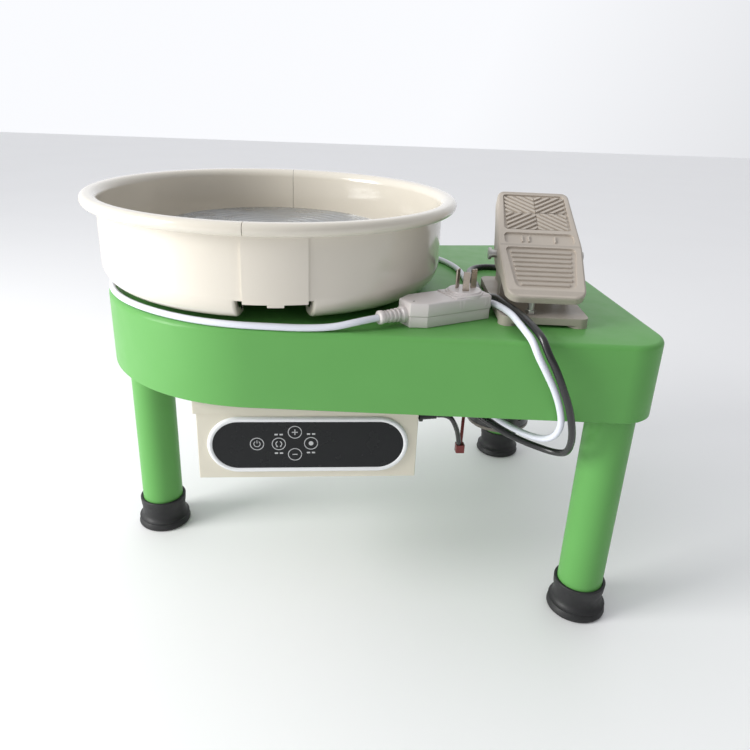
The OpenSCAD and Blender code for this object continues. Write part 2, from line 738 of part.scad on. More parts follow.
// Cast base: a plate on four corner feet, two ears for the pin and a case for the sensor
module pedal_base() color(cast_grey) at_pedal() difference() {
  union() {
    translate([-base_w / 2, 0, base_plate_z])
      round_plate(base_w, base_l, base_h - base_plate_z, base_corner_r);
    for (x = [-base_w / 2, base_w / 2 - 18], y = [0, base_l - 18])
      translate([x, y, 0]) round_plate(18, 18, base_plate_z + 1, base_corner_r - 0.5);
    for (s = [-1, 1]) translate([s * ear_u - ear_t / 2, pivot_v, 0]) {
      translate([0, -ear_r, base_h - 1]) cube([ear_t, 2 * ear_r, pivot_h - base_h + 1]);
      translate([0, 0, pivot_h]) rotate([0, 90, 0]) cylinder(r = ear_r, h = ear_t);
    }
    translate([-case_u, case_v[0], base_h - 1])
      cube([2 * case_u, case_v[1] - case_v[0], case_h - base_h + 1]);
  }
  translate([-case_u + 3, case_v[0] + 3, base_plate_z - 1])
    cube([2 * case_u - 6, case_v[1] - case_v[0] - 6, case_h - base_plate_z - 2]);
  translate([-base_w, pivot_v, pivot_h]) rotate([0, 90, 0]) cylinder(r = pin_r, h = 2 * base_w);
  translate([stop_at[0], stop_at[1], base_plate_z - 1]) cylinder(r = 3, h = base_h);
  translate([cable_u, case_v[1] - 6, 16]) rotate([-90, 0, 0]) cylinder(r = 4.5, h = 10);
  translate([0, bumper_v, case_h - 5]) cylinder(r = 3, h = 10);
}

// Outline of the treadle's face: widest at the middle, with cut upper corners
tread_outline = [
  [-tread_end_w / 2, 14], [-tread_end_w / 2 + 12, 0], [tread_end_w / 2 - 12, 0], [tread_end_w / 2, 14],
  [tread_mid_w / 2, tread_mid], [tread_top_w / 2, tread_l - 9], [tread_top_w / 2 - 8, tread_l],
  [-tread_top_w / 2 + 8, tread_l], [-tread_top_w / 2, tread_l - 9], [-tread_mid_w / 2, tread_mid]
];
tread_wall = 3;
tread_scale = (tread_mid_w - 2 * tread_wall) / tread_mid_w;
rib_t = 1.2;

// Places children in the treadle's own frame: across, along the face and out of it
module on_tread() at_pedal() translate([0, 0, lip_h]) rotate([tread_deg, 0, 0]) children();

// Depth of the treadle's side below its face, along the side
tread_side = [
  [0, 0.01], [tread_l, 0.01], [tread_l, -14], [118, -18], [92, -25], [62, -25], [40, -15], [0, -8.5]
];
pivot_s = pivot_v * cos(tread_deg) + (pivot_h - lip_h) * sin(tread_deg);
pivot_n = (pivot_h - lip_h) * cos(tread_deg) - pivot_v * sin(tread_deg);
plate_t = 4;
// Top of the buffer: just under the plate when the treadle is pressed right down
bumper_top = pivot_h + (bumper_v - pivot_v) * tan(pressed_deg) - (pivot_n + plate_t) / cos(pressed_deg)
  - bumper_gap - bumper_r * tan(pressed_deg);

module tread_block(h) translate([0, 0, -h]) linear_extrude(h) polygon(tread_outline);

// Ribs of one quarter of the upper pad, which meet the next quarter's in a V
module quarter_ribs(w, l, slope) intersection() {
  translate([0, 0, -rib_t]) cube([w, l, rib_t]);
  for (i = [-3:8]) translate([0, i * 6.2 - 8, -rib_t]) rotate([0, 0, slope])
    translate([-10, 0, 0]) cube([w * 2 + 10, 2.8, rib_t]);
}

module pedal_tread() color(cast_grey) on_tread() difference() {
  intersection() {
    tread_block(30);
    rotate([90, 0, 90]) translate([0, 0, -base_w / 2]) linear_extrude(base_w) polygon(tread_side);
  }
  // underside, hollow between the side walls
  translate([0, tread_wall, -40 - plate_t]) linear_extrude(40)
    scale([tread_scale, (tread_l - 2 * tread_wall) / tread_l]) polygon(tread_outline);
  // three recessed pads in the face
  difference() {
    translate([-30, 92, -rib_t]) cube([60, 50, 5]);
    for (sx = [0, 1], sy = [0, 1]) translate([0, 117, 0]) mirror([sx, 0, 0]) mirror([0, sy, 0])
      quarter_ribs(30, 25, 32);
  }
  translate([-34, 72, -rib_t]) cube([68, 14, 5]);
  difference() {
    translate([-33, 14, -rib_t]) cube([66, 52, 5]);
    for (i = [0:7]) translate([-28, 17 + 6.2 * i, -rib_t]) cube([56, 3.4, rib_t]);
  }
  translate([-base_w, pivot_s, pivot_n]) rotate([0, 90, 0]) cylinder(r = pin_r + 0.06, h = 2 * base_w);
}

module pedal_pin() color(steel) at_pedal() translate([0, pivot_v, pivot_h]) rotate([0, 90, 0]) {
  translate([0, 0, -48]) cylinder(r = pin_r, h = 93);
  translate([0, 0, -50]) cylinder(r = 6, h = 2.5);
  translate([0, 0, 43]) cylinder(r = 5.5, h = 2);
}

// Adjustable stop under the treadle's lower end
module pedal_stop_screw() color(steel) at_pedal() translate([stop_at[0], stop_at[1], 0]) {
  translate([0, 0, base_plate_z]) cylinder(r = 3, h = stop_top - base_plate_z);
  translate([0, 0, base_h]) cylinder(r = 5, h = 4, $fn = 6);
}

module pedal_sensor() color(board_green) at_pedal() translate([-case_u + 5, case_v[0] + 6, sensor_h]) {
  cube([2 * case_u - 10, 40, board_t]);
  translate([18, 4, board_t]) cube([8, 6, 4]);
}

// Magnet under the treadle, which the sensor reads
module pedal_magnet() color(steel) on_tread() translate([0, 104, -9]) cylinder(r = 6, h = 5);

// Rubber buffer that the treadle meets when it is pressed right down
module pedal_bumper() color(rubber_black) at_pedal() translate([0, bumper_v, 0]) {
  translate([0, 0, case_h - 4]) cylinder(r = 2.9, h = 5);
  translate([0, 0, case_h]) cylinder(r = bumper_r, h = bumper_top - case_h);
}

module pedal_gland() color(rubber_black) at_pedal() translate([cable_u, case_v[1], 16]) rotate([-90, 0, 0]) {
  translate([0, 0, 0.05]) cylinder(r = 6.5, h = 2);
  translate([0, 0, -3]) cylinder(r = 4.4, h = 6);
  translate([0, 0, 2]) cylinder(r1 = 5.8, r2 = pedal_d / 2 + 0.8, h = 20);
}

module pedal_cable() color(rubber_black) tube(pedal_route, pedal_d);

// ---------- mains lead and plug ----------

module mains_cord() color(cord_white) tube(mains_route, mains_d);

// Outline of the plug's body, its right-hand front corner at the origin
module plug_outline(inset) {
  polygon([
    [-inset, inset], [-inset, plug_w - inset], [-plug_l + chamfer_l, plug_w - inset],
    [-plug_l + inset, plug_w - chamfer_w - inset / 2], [-plug_l + inset, chamfer_w + inset / 2],
    [-plug_l + chamfer_l, inset]
  ]);
}

split_h = 11;

module plug_base() color(plug_white) at_plug() linear_extrude(split_h) plug_outline(0.8);

module plug_cover() color(plug_white) at_plug() {
  translate([0, 0, split_h]) linear_extrude(plug_h - split_h - 3) plug_outline(0);
  translate([0, 0, plug_h - 3]) linear_extrude(3) plug_outline(1.2);
  translate([-disc_at, plug_w / 2, plug_h - 1]) cylinder(r = disc_r, h = disc_h + 1);
}

// Flat pins: two set at an angle and one square to them
module plug_pins() color(nickel) at_plug() translate([-disc_at, plug_w / 2, plug_h + disc_h]) {
  for (s = [-1, 1]) rotate([0, 0, 180 + 60 * s]) translate([7.9 - 0.8, -3.2, 0]) cube([1.6, 6.4, pin_h]);
  translate([10.3 - 3.2, -0.8, 0]) cube([6.4, 1.6, pin_h]);
}

module plug_relief() color(plug_white) at_plug()
  translate([-plug_l, plug_w / 2, relief_h]) rotate([0, -90, 0]) {
    cylinder(r1 = 7.5, r2 = 5.2, h = relief_l - 4);
    for (i = [0:3]) translate([0, 0, 9 + 4 * i]) cylinder(r = 6.6 - 0.35 * i, h = 2.2);
    translate([0, 0, relief_l - 5]) cylinder(r = 6, h = 5);
  }

module motor_lead_black() color(rubber_black) tube(black_lead_route, 5, 8);
module motor_lead_red() color([0.55, 0.10, 0.08]) tube(red_lead_route, 3.5, 8);
module lead_connector() color([0.45, 0.12, 0.10]) translate([105.5, -140, 172]) round_plate(9, 9, 9, 1);

table_top();
table_apron();
leg_sockets();
leg_left();
leg_front_right();
leg_back_right();
leg_screws();
foot_left();
foot_front_right();
foot_back_right();
bearing_housing();
housing_bolts();
bearing_upper();
bearing_lower();
spindle();
wheel_head();
wheel_hub();
hub_screws();
driven_pulley();
drive_belt();
motor_body();
motor_end_ring();
motor_flange();
motor_bolts();
motor_bracket();
bracket_posts();
motor_shaft();
motor_pulley();
basin_seat();
basin_pads();
basin_half_left();
basin_half_right();
control_box();
control_cover();
box_hangers();
box_screws();
panel_bezel();
panel_glass();
touch_board();
controller_board();
mains_gland();
pedal_lead_gland();
motor_lead_gland();
pedal_base();
pedal_tread();
pedal_pin();
pedal_stop_screw();
pedal_sensor();
pedal_magnet();
pedal_bumper();
pedal_gland();
pedal_cable();
mains_cord();
plug_base();
plug_cover();
plug_pins();
plug_relief();
motor_lead_black();
motor_lead_red();
lead_connector();
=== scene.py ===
"""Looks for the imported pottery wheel, in the model's own frame.

Lengths are in metres, except in what is drawn in millimetres and then scaled by MM: the cords'
routes, the splash pan's section, the treadle and the plug.
"""
import math

import bmesh
import bpy
from mathutils import Matrix, Vector, geometry


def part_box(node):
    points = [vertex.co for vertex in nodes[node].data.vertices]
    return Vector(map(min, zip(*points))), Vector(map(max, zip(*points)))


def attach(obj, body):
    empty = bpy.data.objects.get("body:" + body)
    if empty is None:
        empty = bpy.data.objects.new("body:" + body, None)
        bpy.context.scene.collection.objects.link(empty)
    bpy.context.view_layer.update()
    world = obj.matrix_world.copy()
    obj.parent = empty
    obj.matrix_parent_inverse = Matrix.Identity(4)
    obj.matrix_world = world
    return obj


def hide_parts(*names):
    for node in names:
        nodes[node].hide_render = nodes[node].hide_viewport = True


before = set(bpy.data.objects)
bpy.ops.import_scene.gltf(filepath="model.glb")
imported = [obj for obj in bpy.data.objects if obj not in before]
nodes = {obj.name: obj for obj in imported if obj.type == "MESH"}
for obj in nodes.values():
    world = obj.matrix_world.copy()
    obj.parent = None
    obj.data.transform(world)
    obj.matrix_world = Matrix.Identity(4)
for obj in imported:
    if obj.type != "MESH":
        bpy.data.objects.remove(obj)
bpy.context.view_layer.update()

MM = 0.001

# ---------- places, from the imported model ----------


def centre(node):
    """Middle of a CAD node's box."""
    low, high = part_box(node)
    return (low + high) / 2


WHEEL = centre("wheel_head")
TABLE_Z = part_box("table_top")[1].z
APRON_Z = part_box("table_apron")[0].z
GLASS = centre("panel_glass")
BOX_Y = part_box("control_box")[0].y

# ---------- camera ----------

CAMERA_AT = Vector((-0.0475, -0.7702, 0.5288))
CAMERA_RIGHT = Vector((0.99573, -0.08318, 0.04003))
CAMERA_UP = Vector((-0.00438, 0.39064, 0.92053))
CAMERA_BACK = Vector((-0.09221, -0.91678, 0.38861))
SENSOR = 36
LENS = 33.1

camera_data = bpy.data.cameras.new("camera")
camera_data.sensor_width = SENSOR
camera_data.lens = LENS
camera = bpy.data.objects.new("camera", camera_data)
bpy.context.scene.collection.objects.link(camera)
camera.matrix_world = Matrix.Translation(CAMERA_AT) @ Matrix(
    (CAMERA_RIGHT, CAMERA_UP, CAMERA_BACK)
).transposed().to_4x4()
bpy.context.scene.camera = camera

# ---------- materials ----------


class Surface:
    """A material with one Principled shader, and short ways to drive it with noise."""

    def __init__(self, name, colour, roughness, **sockets):
        self.material = bpy.data.materials.new(name)
        self.material.use_nodes = True
        self.tree = self.material.node_tree
        self.shader = self.tree.nodes["Principled BSDF"]
        self.colour = (*colour, 1)
        self.set("Base Color", self.colour)
        self.set("Roughness", roughness)
        for socket, value in sockets.items():
            self.set(socket.replace("_", " ").title().replace("Ior", "IOR"), value)
        self.place = self.add("ShaderNodeTexCoord").outputs["Object"]
        self.normal = None

    def add(self, kind, **values):
        node = self.tree.nodes.new(kind)
        for name, value in values.items():
            setattr(node, name, value)
        return node

    def link(self, source, target):
        self.tree.links.new(source, target)

    def set(self, socket, value):
        self.shader.inputs[socket].default_value = value

    def noise(self, scale, detail=4, rough=0.5, place=None, stretch=None):
        """Noise in metres: scale is in cells a metre, stretched along X, Y, Z."""
        node = self.add("ShaderNodeTexNoise")
        node.inputs["Scale"].default_value = scale
        node.inputs["Detail"].default_value = detail
        node.inputs["Roughness"].default_value = rough
        place = place or self.place
        if stretch:
            mapping = self.add("ShaderNodeMapping")
            mapping.inputs["Scale"].default_value = stretch
            self.link(place, mapping.inputs["Vector"])
            place = mapping.outputs["Vector"]
        self.link(place, node.inputs["Vector"])
        return node.outputs["Fac"]

    def spread(self, fac, low, high, start=0.3, stop=0.7):
        """Maps start..stop of a 0-1 value to low..high."""
        node = self.add("ShaderNodeMapRange")
        for name, value in (("From Min", start), ("From Max", stop), ("To Min", low), ("To Max", high)):
            node.inputs[name].default_value = value
        self.link(fac, node.inputs["Value"])
        return node.outputs["Result"]

    def tint(self, fac, other, most=1.0, start=0.3, stop=0.7):
        """Blends the colour towards another by a 0-1 value."""
        mix = self.add("ShaderNodeMix", data_type="RGBA")
        before = self.shader.inputs["Base Color"]
        if before.is_linked:
            self.link(before.links[0].from_socket, mix.inputs["A"])
        else:
            mix.inputs["A"].default_value = before.default_value
        mix.inputs["B"].default_value = (*other, 1)
        self.link(self.spread(fac, 0, most, start, stop), mix.inputs["Factor"])
        self.link(mix.outputs["Result"], before)
        return self

    def roughen(self, fac, low, high, start=0.3, stop=0.7):
        self.link(self.spread(fac, low, high, start, stop), self.shader.inputs["Roughness"])
        return self

    def bump(self, fac, depth, strength=1.0):
        """Raises the surface by a 0-1 value, depth metres at most."""
        node = self.add("ShaderNodeBump")
        node.inputs["Strength"].default_value = strength
        node.inputs["Distance"].default_value = depth
        self.link(fac, node.inputs["Height"])
        if self.normal:
            self.link(self.normal, node.inputs["Normal"])
        self.normal = node.outputs["Normal"]
        self.link(self.normal, self.shader.inputs["Normal"])
        return self

    def around(self, x, y):
        """Distance from an upright axis, as a place for noise that runs in rings."""
        apart = self.add("ShaderNodeVectorMath", operation="MULTIPLY_ADD")
        apart.inputs[1].default_value = (1, 1, 0)
        apart.inputs[2].default_value = (-x, -y, 0)
        self.link(self.place, apart.inputs[0])
        length = self.add("ShaderNodeVectorMath", operation="LENGTH")
        self.link(apart.outputs["Vector"], length.inputs[0])
        return length.outputs["Value"]

    def worn(self, other, most=0.5, start=0.52, stop=0.6):
        """Blends the colour towards another along convex edges."""
        pointed = self.add("ShaderNodeNewGeometry").outputs["Pointiness"]
        return self.tint(pointed, other, most, start, stop)


def painted(name, colour, dark, roughness, peel):
    """Powder coat: a faint orange peel, slow shifts of tone and dusty patches."""
    s = Surface(name, colour, roughness, coat_weight=0.25, coat_roughness=0.22)
    s.tint(s.noise(7, 3), dark, 0.5)
    s.roughen(s.noise(45, 5), roughness - 0.06, roughness + 0.08)
    s.bump(s.noise(900, 3), peel)
    return s.material


def plastic(name, colour, other, roughness, coat=0.0, grain=2e-5):
    """Moulded plastic: slow tone shifts, tiny scuffs and a fine grain."""
    s = Surface(name, colour, roughness, coat_weight=coat, coat_roughness=0.08, ior=1.5)
    s.tint(s.noise(9, 3), other, 0.6)
    s.roughen(s.noise(60, 6), max(roughness - 0.05, 0.02), roughness + 0.07)
    s.bump(s.noise(420, 4), grain)
    return s.material


def rubber(name, colour, roughness=0.55, grain=8e-5):
    s = Surface(name, colour, roughness, specular_ior_level=0.45)
    s.tint(s.noise(30, 4), tuple(2.2 * c for c in colour), 0.5)
    s.roughen(s.noise(120, 5), roughness - 0.1, roughness + 0.1)
    s.bump(s.noise(1500, 3), grain)
    return s.material


def metal(name, colour, roughness, stretch=(1, 1, 1), lines=300, depth=1e-5):
    """Metal with a grain that runs along the short axes of stretch."""
    s = Surface(name, colour, roughness, metallic=1.0)
    grain = s.noise(lines, 5, 0.6, stretch=stretch)
    s.tint(grain, tuple(0.72 * c for c in colour), 0.7)
    s.roughen(s.noise(80, 5), roughness - 0.08, roughness + 0.12)
    s.bump(grain, depth)
    return s.material


def turned(name, colour, roughness, x, y):
    """Lathe-turned metal: fine rings about an upright axis."""
    s = Surface(name, colour, roughness, metallic=1.0, anisotropic=0.6)
    radius = s.add("ShaderNodeCombineXYZ")
    s.link(s.around(x, y), radius.inputs["X"])
    rings = s.noise(2200, 3, 0.7, place=radius.outputs["Vector"])
    broad = s.noise(170, 2, 0.5, place=radius.outputs["Vector"])
    s.tint(rings, tuple(0.6 * c for c in colour), 0.8)
    s.tint(broad, tuple(0.75 * c for c in colour), 0.5)
    s.roughen(s.noise(30, 4), roughness - 0.06, roughness + 0.14)
    s.bump(rings, 1.5e-5)
    return s.material


def casting(name, colour, dark, roughness):
    """Painted metal casting: pebbled skin, dirt in the low spots and rubbed edges."""
    s = Surface(name, colour, roughness, coat_weight=0.12, coat_roughness=0.35)
    s.tint(s.noise(22, 5), dark, 0.35)
    s.tint(s.noise(600, 3), dark, 0.25)
    s.worn(tuple(min(1.0, 1.25 * c) for c in colour), 0.6)
    s.roughen(s.noise(70, 5), roughness - 0.08, roughness + 0.1)
    s.bump(s.noise(700, 4), 6e-5)
    return s.material


GREEN = painted("green powder coat", (0.135, 0.39, 0.10), (0.115, 0.335, 0.085), 0.5, 2.5e-5)
GREEN.node_tree.nodes["Principled BSDF"].inputs["Specular IOR Level"].default_value = 0.12
IVORY = plastic("ivory pan plastic", (0.75, 0.70, 0.61), (0.71, 0.66, 0.57), 0.16, 0.6)
CREAM = painted("cream box paint", (0.74, 0.70, 0.58), (0.70, 0.66, 0.54), 0.42, 2e-5)
BEZEL = plastic("white bezel plastic", (0.86, 0.87, 0.88), (0.82, 0.83, 0.84), 0.22, 0.3)
GLOSS = plastic("black panel film", (0.010, 0.011, 0.012), (0.013, 0.014, 0.015), 0.24, 0.0, 4e-6)
GLOSS.node_tree.nodes["Principled BSDF"].inputs["Specular IOR Level"].default_value = 0.25
INK = plastic("panel ink", (0.55, 0.56, 0.57), (0.5, 0.5, 0.5), 0.5)
RUBBER = rubber("black foot rubber", (0.014, 0.014, 0.015))
BELT = rubber("belt rubber", (0.02, 0.02, 0.021), 0.7, 2e-4)
CAST = casting("warm grey casting", (0.47, 0.42, 0.365), (0.38, 0.335, 0.28), 0.5)
PLUG_PLASTIC = plastic("plug plastic", (0.74, 0.69, 0.68), (0.70, 0.65, 0.64), 0.36, 0.15, 4e-5)
WHITE_SHEATH = plastic("white cord sheath", (0.76, 0.78, 0.86), (0.72, 0.74, 0.82), 0.34, 0.1, 4e-5)
BLACK_SHEATH = plastic("black cord sheath", (0.012, 0.012, 0.013), (0.02, 0.02, 0.02), 0.3, 0.3, 4e-5)
RED_SHEATH = plastic("red lead sleeve", (0.22, 0.03, 0.025), (0.12, 0.02, 0.02), 0.45)
ZINC = metal("zinc plate", (0.62, 0.61, 0.58), 0.32)
STEEL = metal("ground steel", (0.58, 0.58, 0.59), 0.22, (1, 1, 12))
DARK_STEEL = metal("dark end bell", (0.20, 0.185, 0.165), 0.38)
NICKEL = metal("nickel pins", (0.50, 0.43, 0.36), 0.27, (1, 1, 8))
IRON = casting("black iron casting", (0.035, 0.035, 0.038), (0.02, 0.02, 0.02), 0.55)
MOTOR = painted("black motor enamel", (0.012, 0.012, 0.013), (0.02, 0.02, 0.02), 0.3, 4e-5)
HEAD = turned("turned aluminium head", (0.46, 0.475, 0.49), 0.26, WHEEL.x, WHEEL.y)
MOTOR_AXIS = centre("motor_shaft")
PULLEY = turned("turned motor pulley", (0.62, 0.62, 0.63), 0.26, MOTOR_AXIS.x, MOTOR_AXIS.y)
BOARD = plastic("green circuit board", (0.02, 0.14, 0.06), (0.015, 0.10, 0.045), 0.35, 0.3)

FINISH = {
    GREEN: "leg_sockets leg_left leg_front_right leg_back_right",
    ZINC: "leg_screws housing_bolts hub_screws motor_bolts bracket_posts motor_bracket box_hangers "
    "box_screws pedal_pin pedal_stop_screw",
    IRON: "bearing_housing",
    STEEL: "bearing_upper bearing_lower spindle motor_shaft pedal_magnet",
    HEAD: "wheel_head wheel_hub driven_pulley",
    BELT: "drive_belt",
    MOTOR: "motor_body",
    DARK_STEEL: "motor_end_ring motor_flange",
    PULLEY: "motor_pulley",
    IVORY: "basin_half_left basin_half_right",
    RUBBER: "foot_left foot_front_right foot_back_right basin_seat basin_pads pedal_lead_gland "
    "motor_lead_gland pedal_bumper pedal_gland",
    CREAM: "control_box control_cover",
    BEZEL: "panel_bezel mains_gland",
    GLOSS: "panel_glass",
    BOARD: "touch_board controller_board pedal_sensor",
    CAST: "pedal_base pedal_tread",
    PLUG_PLASTIC: "plug_base plug_cover plug_relief",
    NICKEL: "plug_pins",
    RED_SHEATH: "lead_connector",
}
for finish, names in FINISH.items():
    for name in names.split():
        nodes[name].data.materials.clear()
        nodes[name].data.materials.append(finish)

# ---------- cords ----------


def smooth_route(points, steps=5):
    """Points of a smooth curve through the route's points, which are in millimetres."""
    p = [Vector(q) * MM for q in points]
    p = [2 * p[0] - p[1], *p, 2 * p[-1] - p[-2]]
    out = []
    for a, b, c, d in zip(p, p[1:], p[2:], p[3:]):
        for k in range(steps):
            t = k / steps
            square, cube = 2 * a - 5 * b + 4 * c - d, 3 * b - a - 3 * c + d
            out.append(0.5 * (2 * b + (c - a) * t + square * t * t + cube * t**3))
    return [*out, p[-2]]


def cord_curve(name, points, diameter, node, material):
    """A round cord along a route, which replaces its CAD tube."""
    curve = bpy.data.curves.new(name, "CURVE")
    curve.dimensions = "3D"
    curve.bevel_depth = diameter / 2
    curve.bevel_resolution = 6
    curve.use_fill_caps = True
    line = smooth_route(points)
    spline = curve.splines.new("POLY")
    spline.points.add(len(line) - 1)
    for point, place in zip(spline.points, line):
        point.co = (*place, 1)
    curve.materials.append(material)
    cord = bpy.data.objects.new(name, curve)
    bpy.context.scene.collection.objects.link(cord)
    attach(cord, "frame")
    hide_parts(node)
    return cord, line


# The routes' points are part.scad's, in millimetres
MAINS_ROUTE = [
    (83, -130, 236), (97, -130.5, 236), (110, -133, 235), (124, -142, 230), (137, -152, 222.5),
    (150, -161, 216.5), (162.5, -171, 213.5), (172.5, -182.5, 214), (180, -195, 219),
    (184.3, -205.5, 229), (184.6, -212.8, 243.5), (180.1, -216.5, 260), (172, -218.5, 279),
    (161.7, -219.5, 297.1), (152.5, -217.5, 313), (148, -209.5, 324), (144.8, -197.5, 328.8),
    (142.3, -182, 331.8), (140.3, -165, 334), (137, -146, 334.3), (131.5, -124, 333),
    (128, -103, 327), (126, -80, 323.8), (127, -50, 323.8), (129, -18, 323.8), (131, 16, 323.8),
    (131, 44, 323.8), (126, 72, 323.8), (116, 98, 323.8), (98, 121, 323.8), (74, 139, 323.8),
    (44, 151, 323.8), (10, 160, 323.8), (-25, 166, 323.8), (-60, 171, 323.8), (-94, 173, 323.8),
    (-128, 169, 323.8), (-161, 157, 323.8), (-191, 139, 323.8), (-217, 115, 323.8),
    (-238, 86, 323.8), (-253, 52, 323.8), (-260, 16, 323.8), (-260, -22, 323.8),
    (-252, -58, 323.8), (-236, -90, 323.8), (-213, -118, 323.8), (-184, -142, 323.8),
    (-152, -160, 323.8), (-118, -171, 323.8), (-84, -176, 323.8), (-54, -178.5, 323.8),
    (-28, -179.5, 325.5), (-6, -177, 329.5), (13.5, -170, 331.5),
]
PEDAL_ROUTE = [
    (198.3, 1.4, 336.5), (200, 18, 333.5), (199, 36, 328), (192, 51, 325), (179, 60, 324),
    (165, 60, 324), (152, 52, 324), (143.5, 38, 324), (140, 20, 324), (139, 0, 324),
    (138, -22, 324), (136, -42, 324), (134, -62, 324.2), (133.3, -81, 327), (134.3, -98, 332),
    (138, -113, 335.3), (141.7, -131, 335.3), (145, -150, 335), (148, -168, 335),
    (150.5, -185, 333.8), (153.2, -199, 331.3), (156.5, -211.5, 326.5), (161.3, -219, 315),
    (169.2, -221.5, 301), (178, -222, 283), (186.5, -221, 264), (193.3, -218, 243.5),
    (198.3, -211, 223.5), (199.3, -200.5, 207), (193.5, -187.5, 199.5), (181, -175.5, 198.5),
    (166, -166, 201), (150, -157, 206), (134.5, -145, 212), (121.5, -131, 217.5),
    (109, -119.5, 221), (96, -113.3, 222), (83, -112, 222),
]
BLACK_LEAD_ROUTE = [
    (80, -150, 222), (88, -149.8, 221.5), (95, -149, 217.5), (100.5, -146.5, 208),
    (105, -142, 196), (108.5, -137, 181),
]
RED_LEAD_ROUTE = [
    (111, -134, 181), (112, -131, 195), (114, -124, 209), (119, -112, 219), (126, -98, 224),
    (134, -84, 225), (141, -72, 225),
]
MAINS_D, PEDAL_D, BLACK_D, RED_D = 0.0065, 0.007, 0.005, 0.0035
mains, mains_line = cord_curve(
    "white_mains_cord", MAINS_ROUTE, MAINS_D, "mains_cord", WHITE_SHEATH
)
pedal, pedal_line = cord_curve(
    "black_pedal_cable", PEDAL_ROUTE, PEDAL_D, "pedal_cable", BLACK_SHEATH
)
black_lead, black_line = cord_curve(
    "black_motor_lead", BLACK_LEAD_ROUTE, BLACK_D, "motor_lead_black", BLACK_SHEATH
)
red_lead, red_line = cord_curve(
    "red_motor_lead", RED_LEAD_ROUTE, RED_D, "motor_lead_red", RED_SHEATH
)

# ---------- mesh building ----------

AXIS_R = 0.0001  # a turned part in metres closes this far from its axis


def arc(x, y, r, start, stop, steps):
    """Points of an arc, in degrees, with both its ends."""
    angles = [math.radians(start + (stop - start) * k / steps) for k in range(steps + 1)]
    return [(x + r * math.cos(a), y + r * math.sin(a)) for a in angles]


def loft(rings, looped=False):
    """A skin through rings of points, with its two ends filled unless the rings run in a loop."""
    n, count = len(rings[0]), len(rings)
    verts = [p for ring in rings for p in ring]
    faces = []
    for i in range(count if looped else count - 1):
        j = (i + 1) % count
        faces += [(i * n + k, i * n + (k + 1) % n, j * n + (k + 1) % n, j * n + k) for k in range(n)]
    if not looped:
        faces += [tuple(range(n))[::-1], tuple(range((count - 1) * n, count * n))]
    return verts, faces


def joined(*parts):
    """Several skins as one list of points and one of faces."""
    verts, faces = [], []
    for more, skin in parts:
        faces += [tuple(i + len(verts) for i in face) for face in skin]
        verts += more
    return verts, faces


def placed(part, matrix):
    verts, faces = part
    return [tuple(matrix @ Vector(v)) for v in verts], faces


def piece(name, part, material, replaced, body="frame", bevel=0.0, segments=3, sharp=38):
    """A smooth-shaded object that rides on a body and stands for CAD nodes."""
    mesh = bpy.data.meshes.new(name)
    mesh.from_pydata(part[0], [], part[1])
    work = bmesh.new()
    work.from_mesh(mesh)
    bmesh.ops.remove_doubles(work, verts=work.verts, dist=1e-7)
    bmesh.ops.recalc_face_normals(work, faces=work.faces)
    work.to_mesh(mesh)
    work.free()
    mesh.polygons.foreach_set("use_smooth", [True] * len(mesh.polygons))
    mesh.set_sharp_from_angle(angle=math.radians(sharp))
    mesh.materials.append(material)
    made = bpy.data.objects.new(name, mesh)
    bpy.context.scene.collection.objects.link(made)
    if bevel:
        soften(made, bevel, segments, sharp)
    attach(made, body)
    if replaced:
        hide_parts(*replaced)
    return made


def soften(made, width, segments=2, sharp=38):
    """Rounds an object's sharp edges."""
    edge = made.modifiers.new("soft edges", "BEVEL")
    edge.width = width
    edge.segments = segments
    edge.limit_method = "ANGLE"
    edge.angle_limit = math.radians(sharp)
    edge.harden_normals = True
    flat = made.modifiers.new("even shading", "WEIGHTED_NORMAL")
    flat.keep_sharp = True


def soften_node(name, width, segments=2, sharp=38):
    """Rounds a CAD node's edges once its faces are joined."""
    weld = nodes[name].modifiers.new("join faces", "WELD")
    weld.merge_threshold = 1e-6
    soften(nodes[name], width, segments, sharp)


def turned_part(outline, at, steps=128):
    """A solid of revolution: outline is [(radius, height)] in metres, closed, about an upright axis."""
    rings = []
    for k in range(steps):
        a = 2 * math.pi * k / steps
        rings.append([(at[0] + r * math.cos(a), at[1] + r * math.sin(a), z) for r, z in outline])
    return loft(rings, looped=True)


def rounded_outline(corners, steps=6):
    """A polygon with round corners: [(x, y, radius)], anticlockwise."""
    out = []
    n = len(corners)
    for i, (x, y, r) in enumerate(corners):
        here = Vector((x, y))
        back = (Vector(corners[i - 1][:2]) - here).normalized()
        on = (Vector(corners[(i + 1) % n][:2]) - here).normalized()
        if r <= 0:
            out.append((x, y))
            continue
        half = back.angle(on) / 2
        middle = here + (back + on).normalized() * (r / math.sin(half))
        first = here + back * (r / math.tan(half)) - middle
        last = here + on * (r / math.tan(half)) - middle
        start, stop = math.atan2(first.y, first.x), math.atan2(last.y, last.x)
        sweep = (stop - start + math.pi) % (2 * math.pi) - math.pi
        for k in range(steps + 1):
            a = start + sweep * k / steps
            out.append((middle.x + r * math.cos(a), middle.y + r * math.sin(a)))
    return out


def corners_of(x, y, w, h, *more):
    """Corners of a rectangle about x, y, anticlockwise, each with whatever more is given."""
    signs = ((-1, -1), (1, -1), (1, 1), (-1, 1))
    return [(x + sx * w / 2, y + sy * h / 2, *more) for sx, sy in signs]


def inset(outline, by):
    """The outline drawn in by a distance, point for point."""
    n = len(outline)
    out = []
    for i, p in enumerate(outline):
        p = Vector(p)
        a = p - Vector(outline[i - 1])
        b = Vector(outline[(i + 1) % n]) - p
        along = a.normalized() + b.normalized()
        normal = Vector((-along.y, along.x)).normalized()
        lean = max(normal.dot(Vector((-a.y, a.x)).normalized()), 0.5)
        out.append(tuple(p + normal * by / lean))
    return out


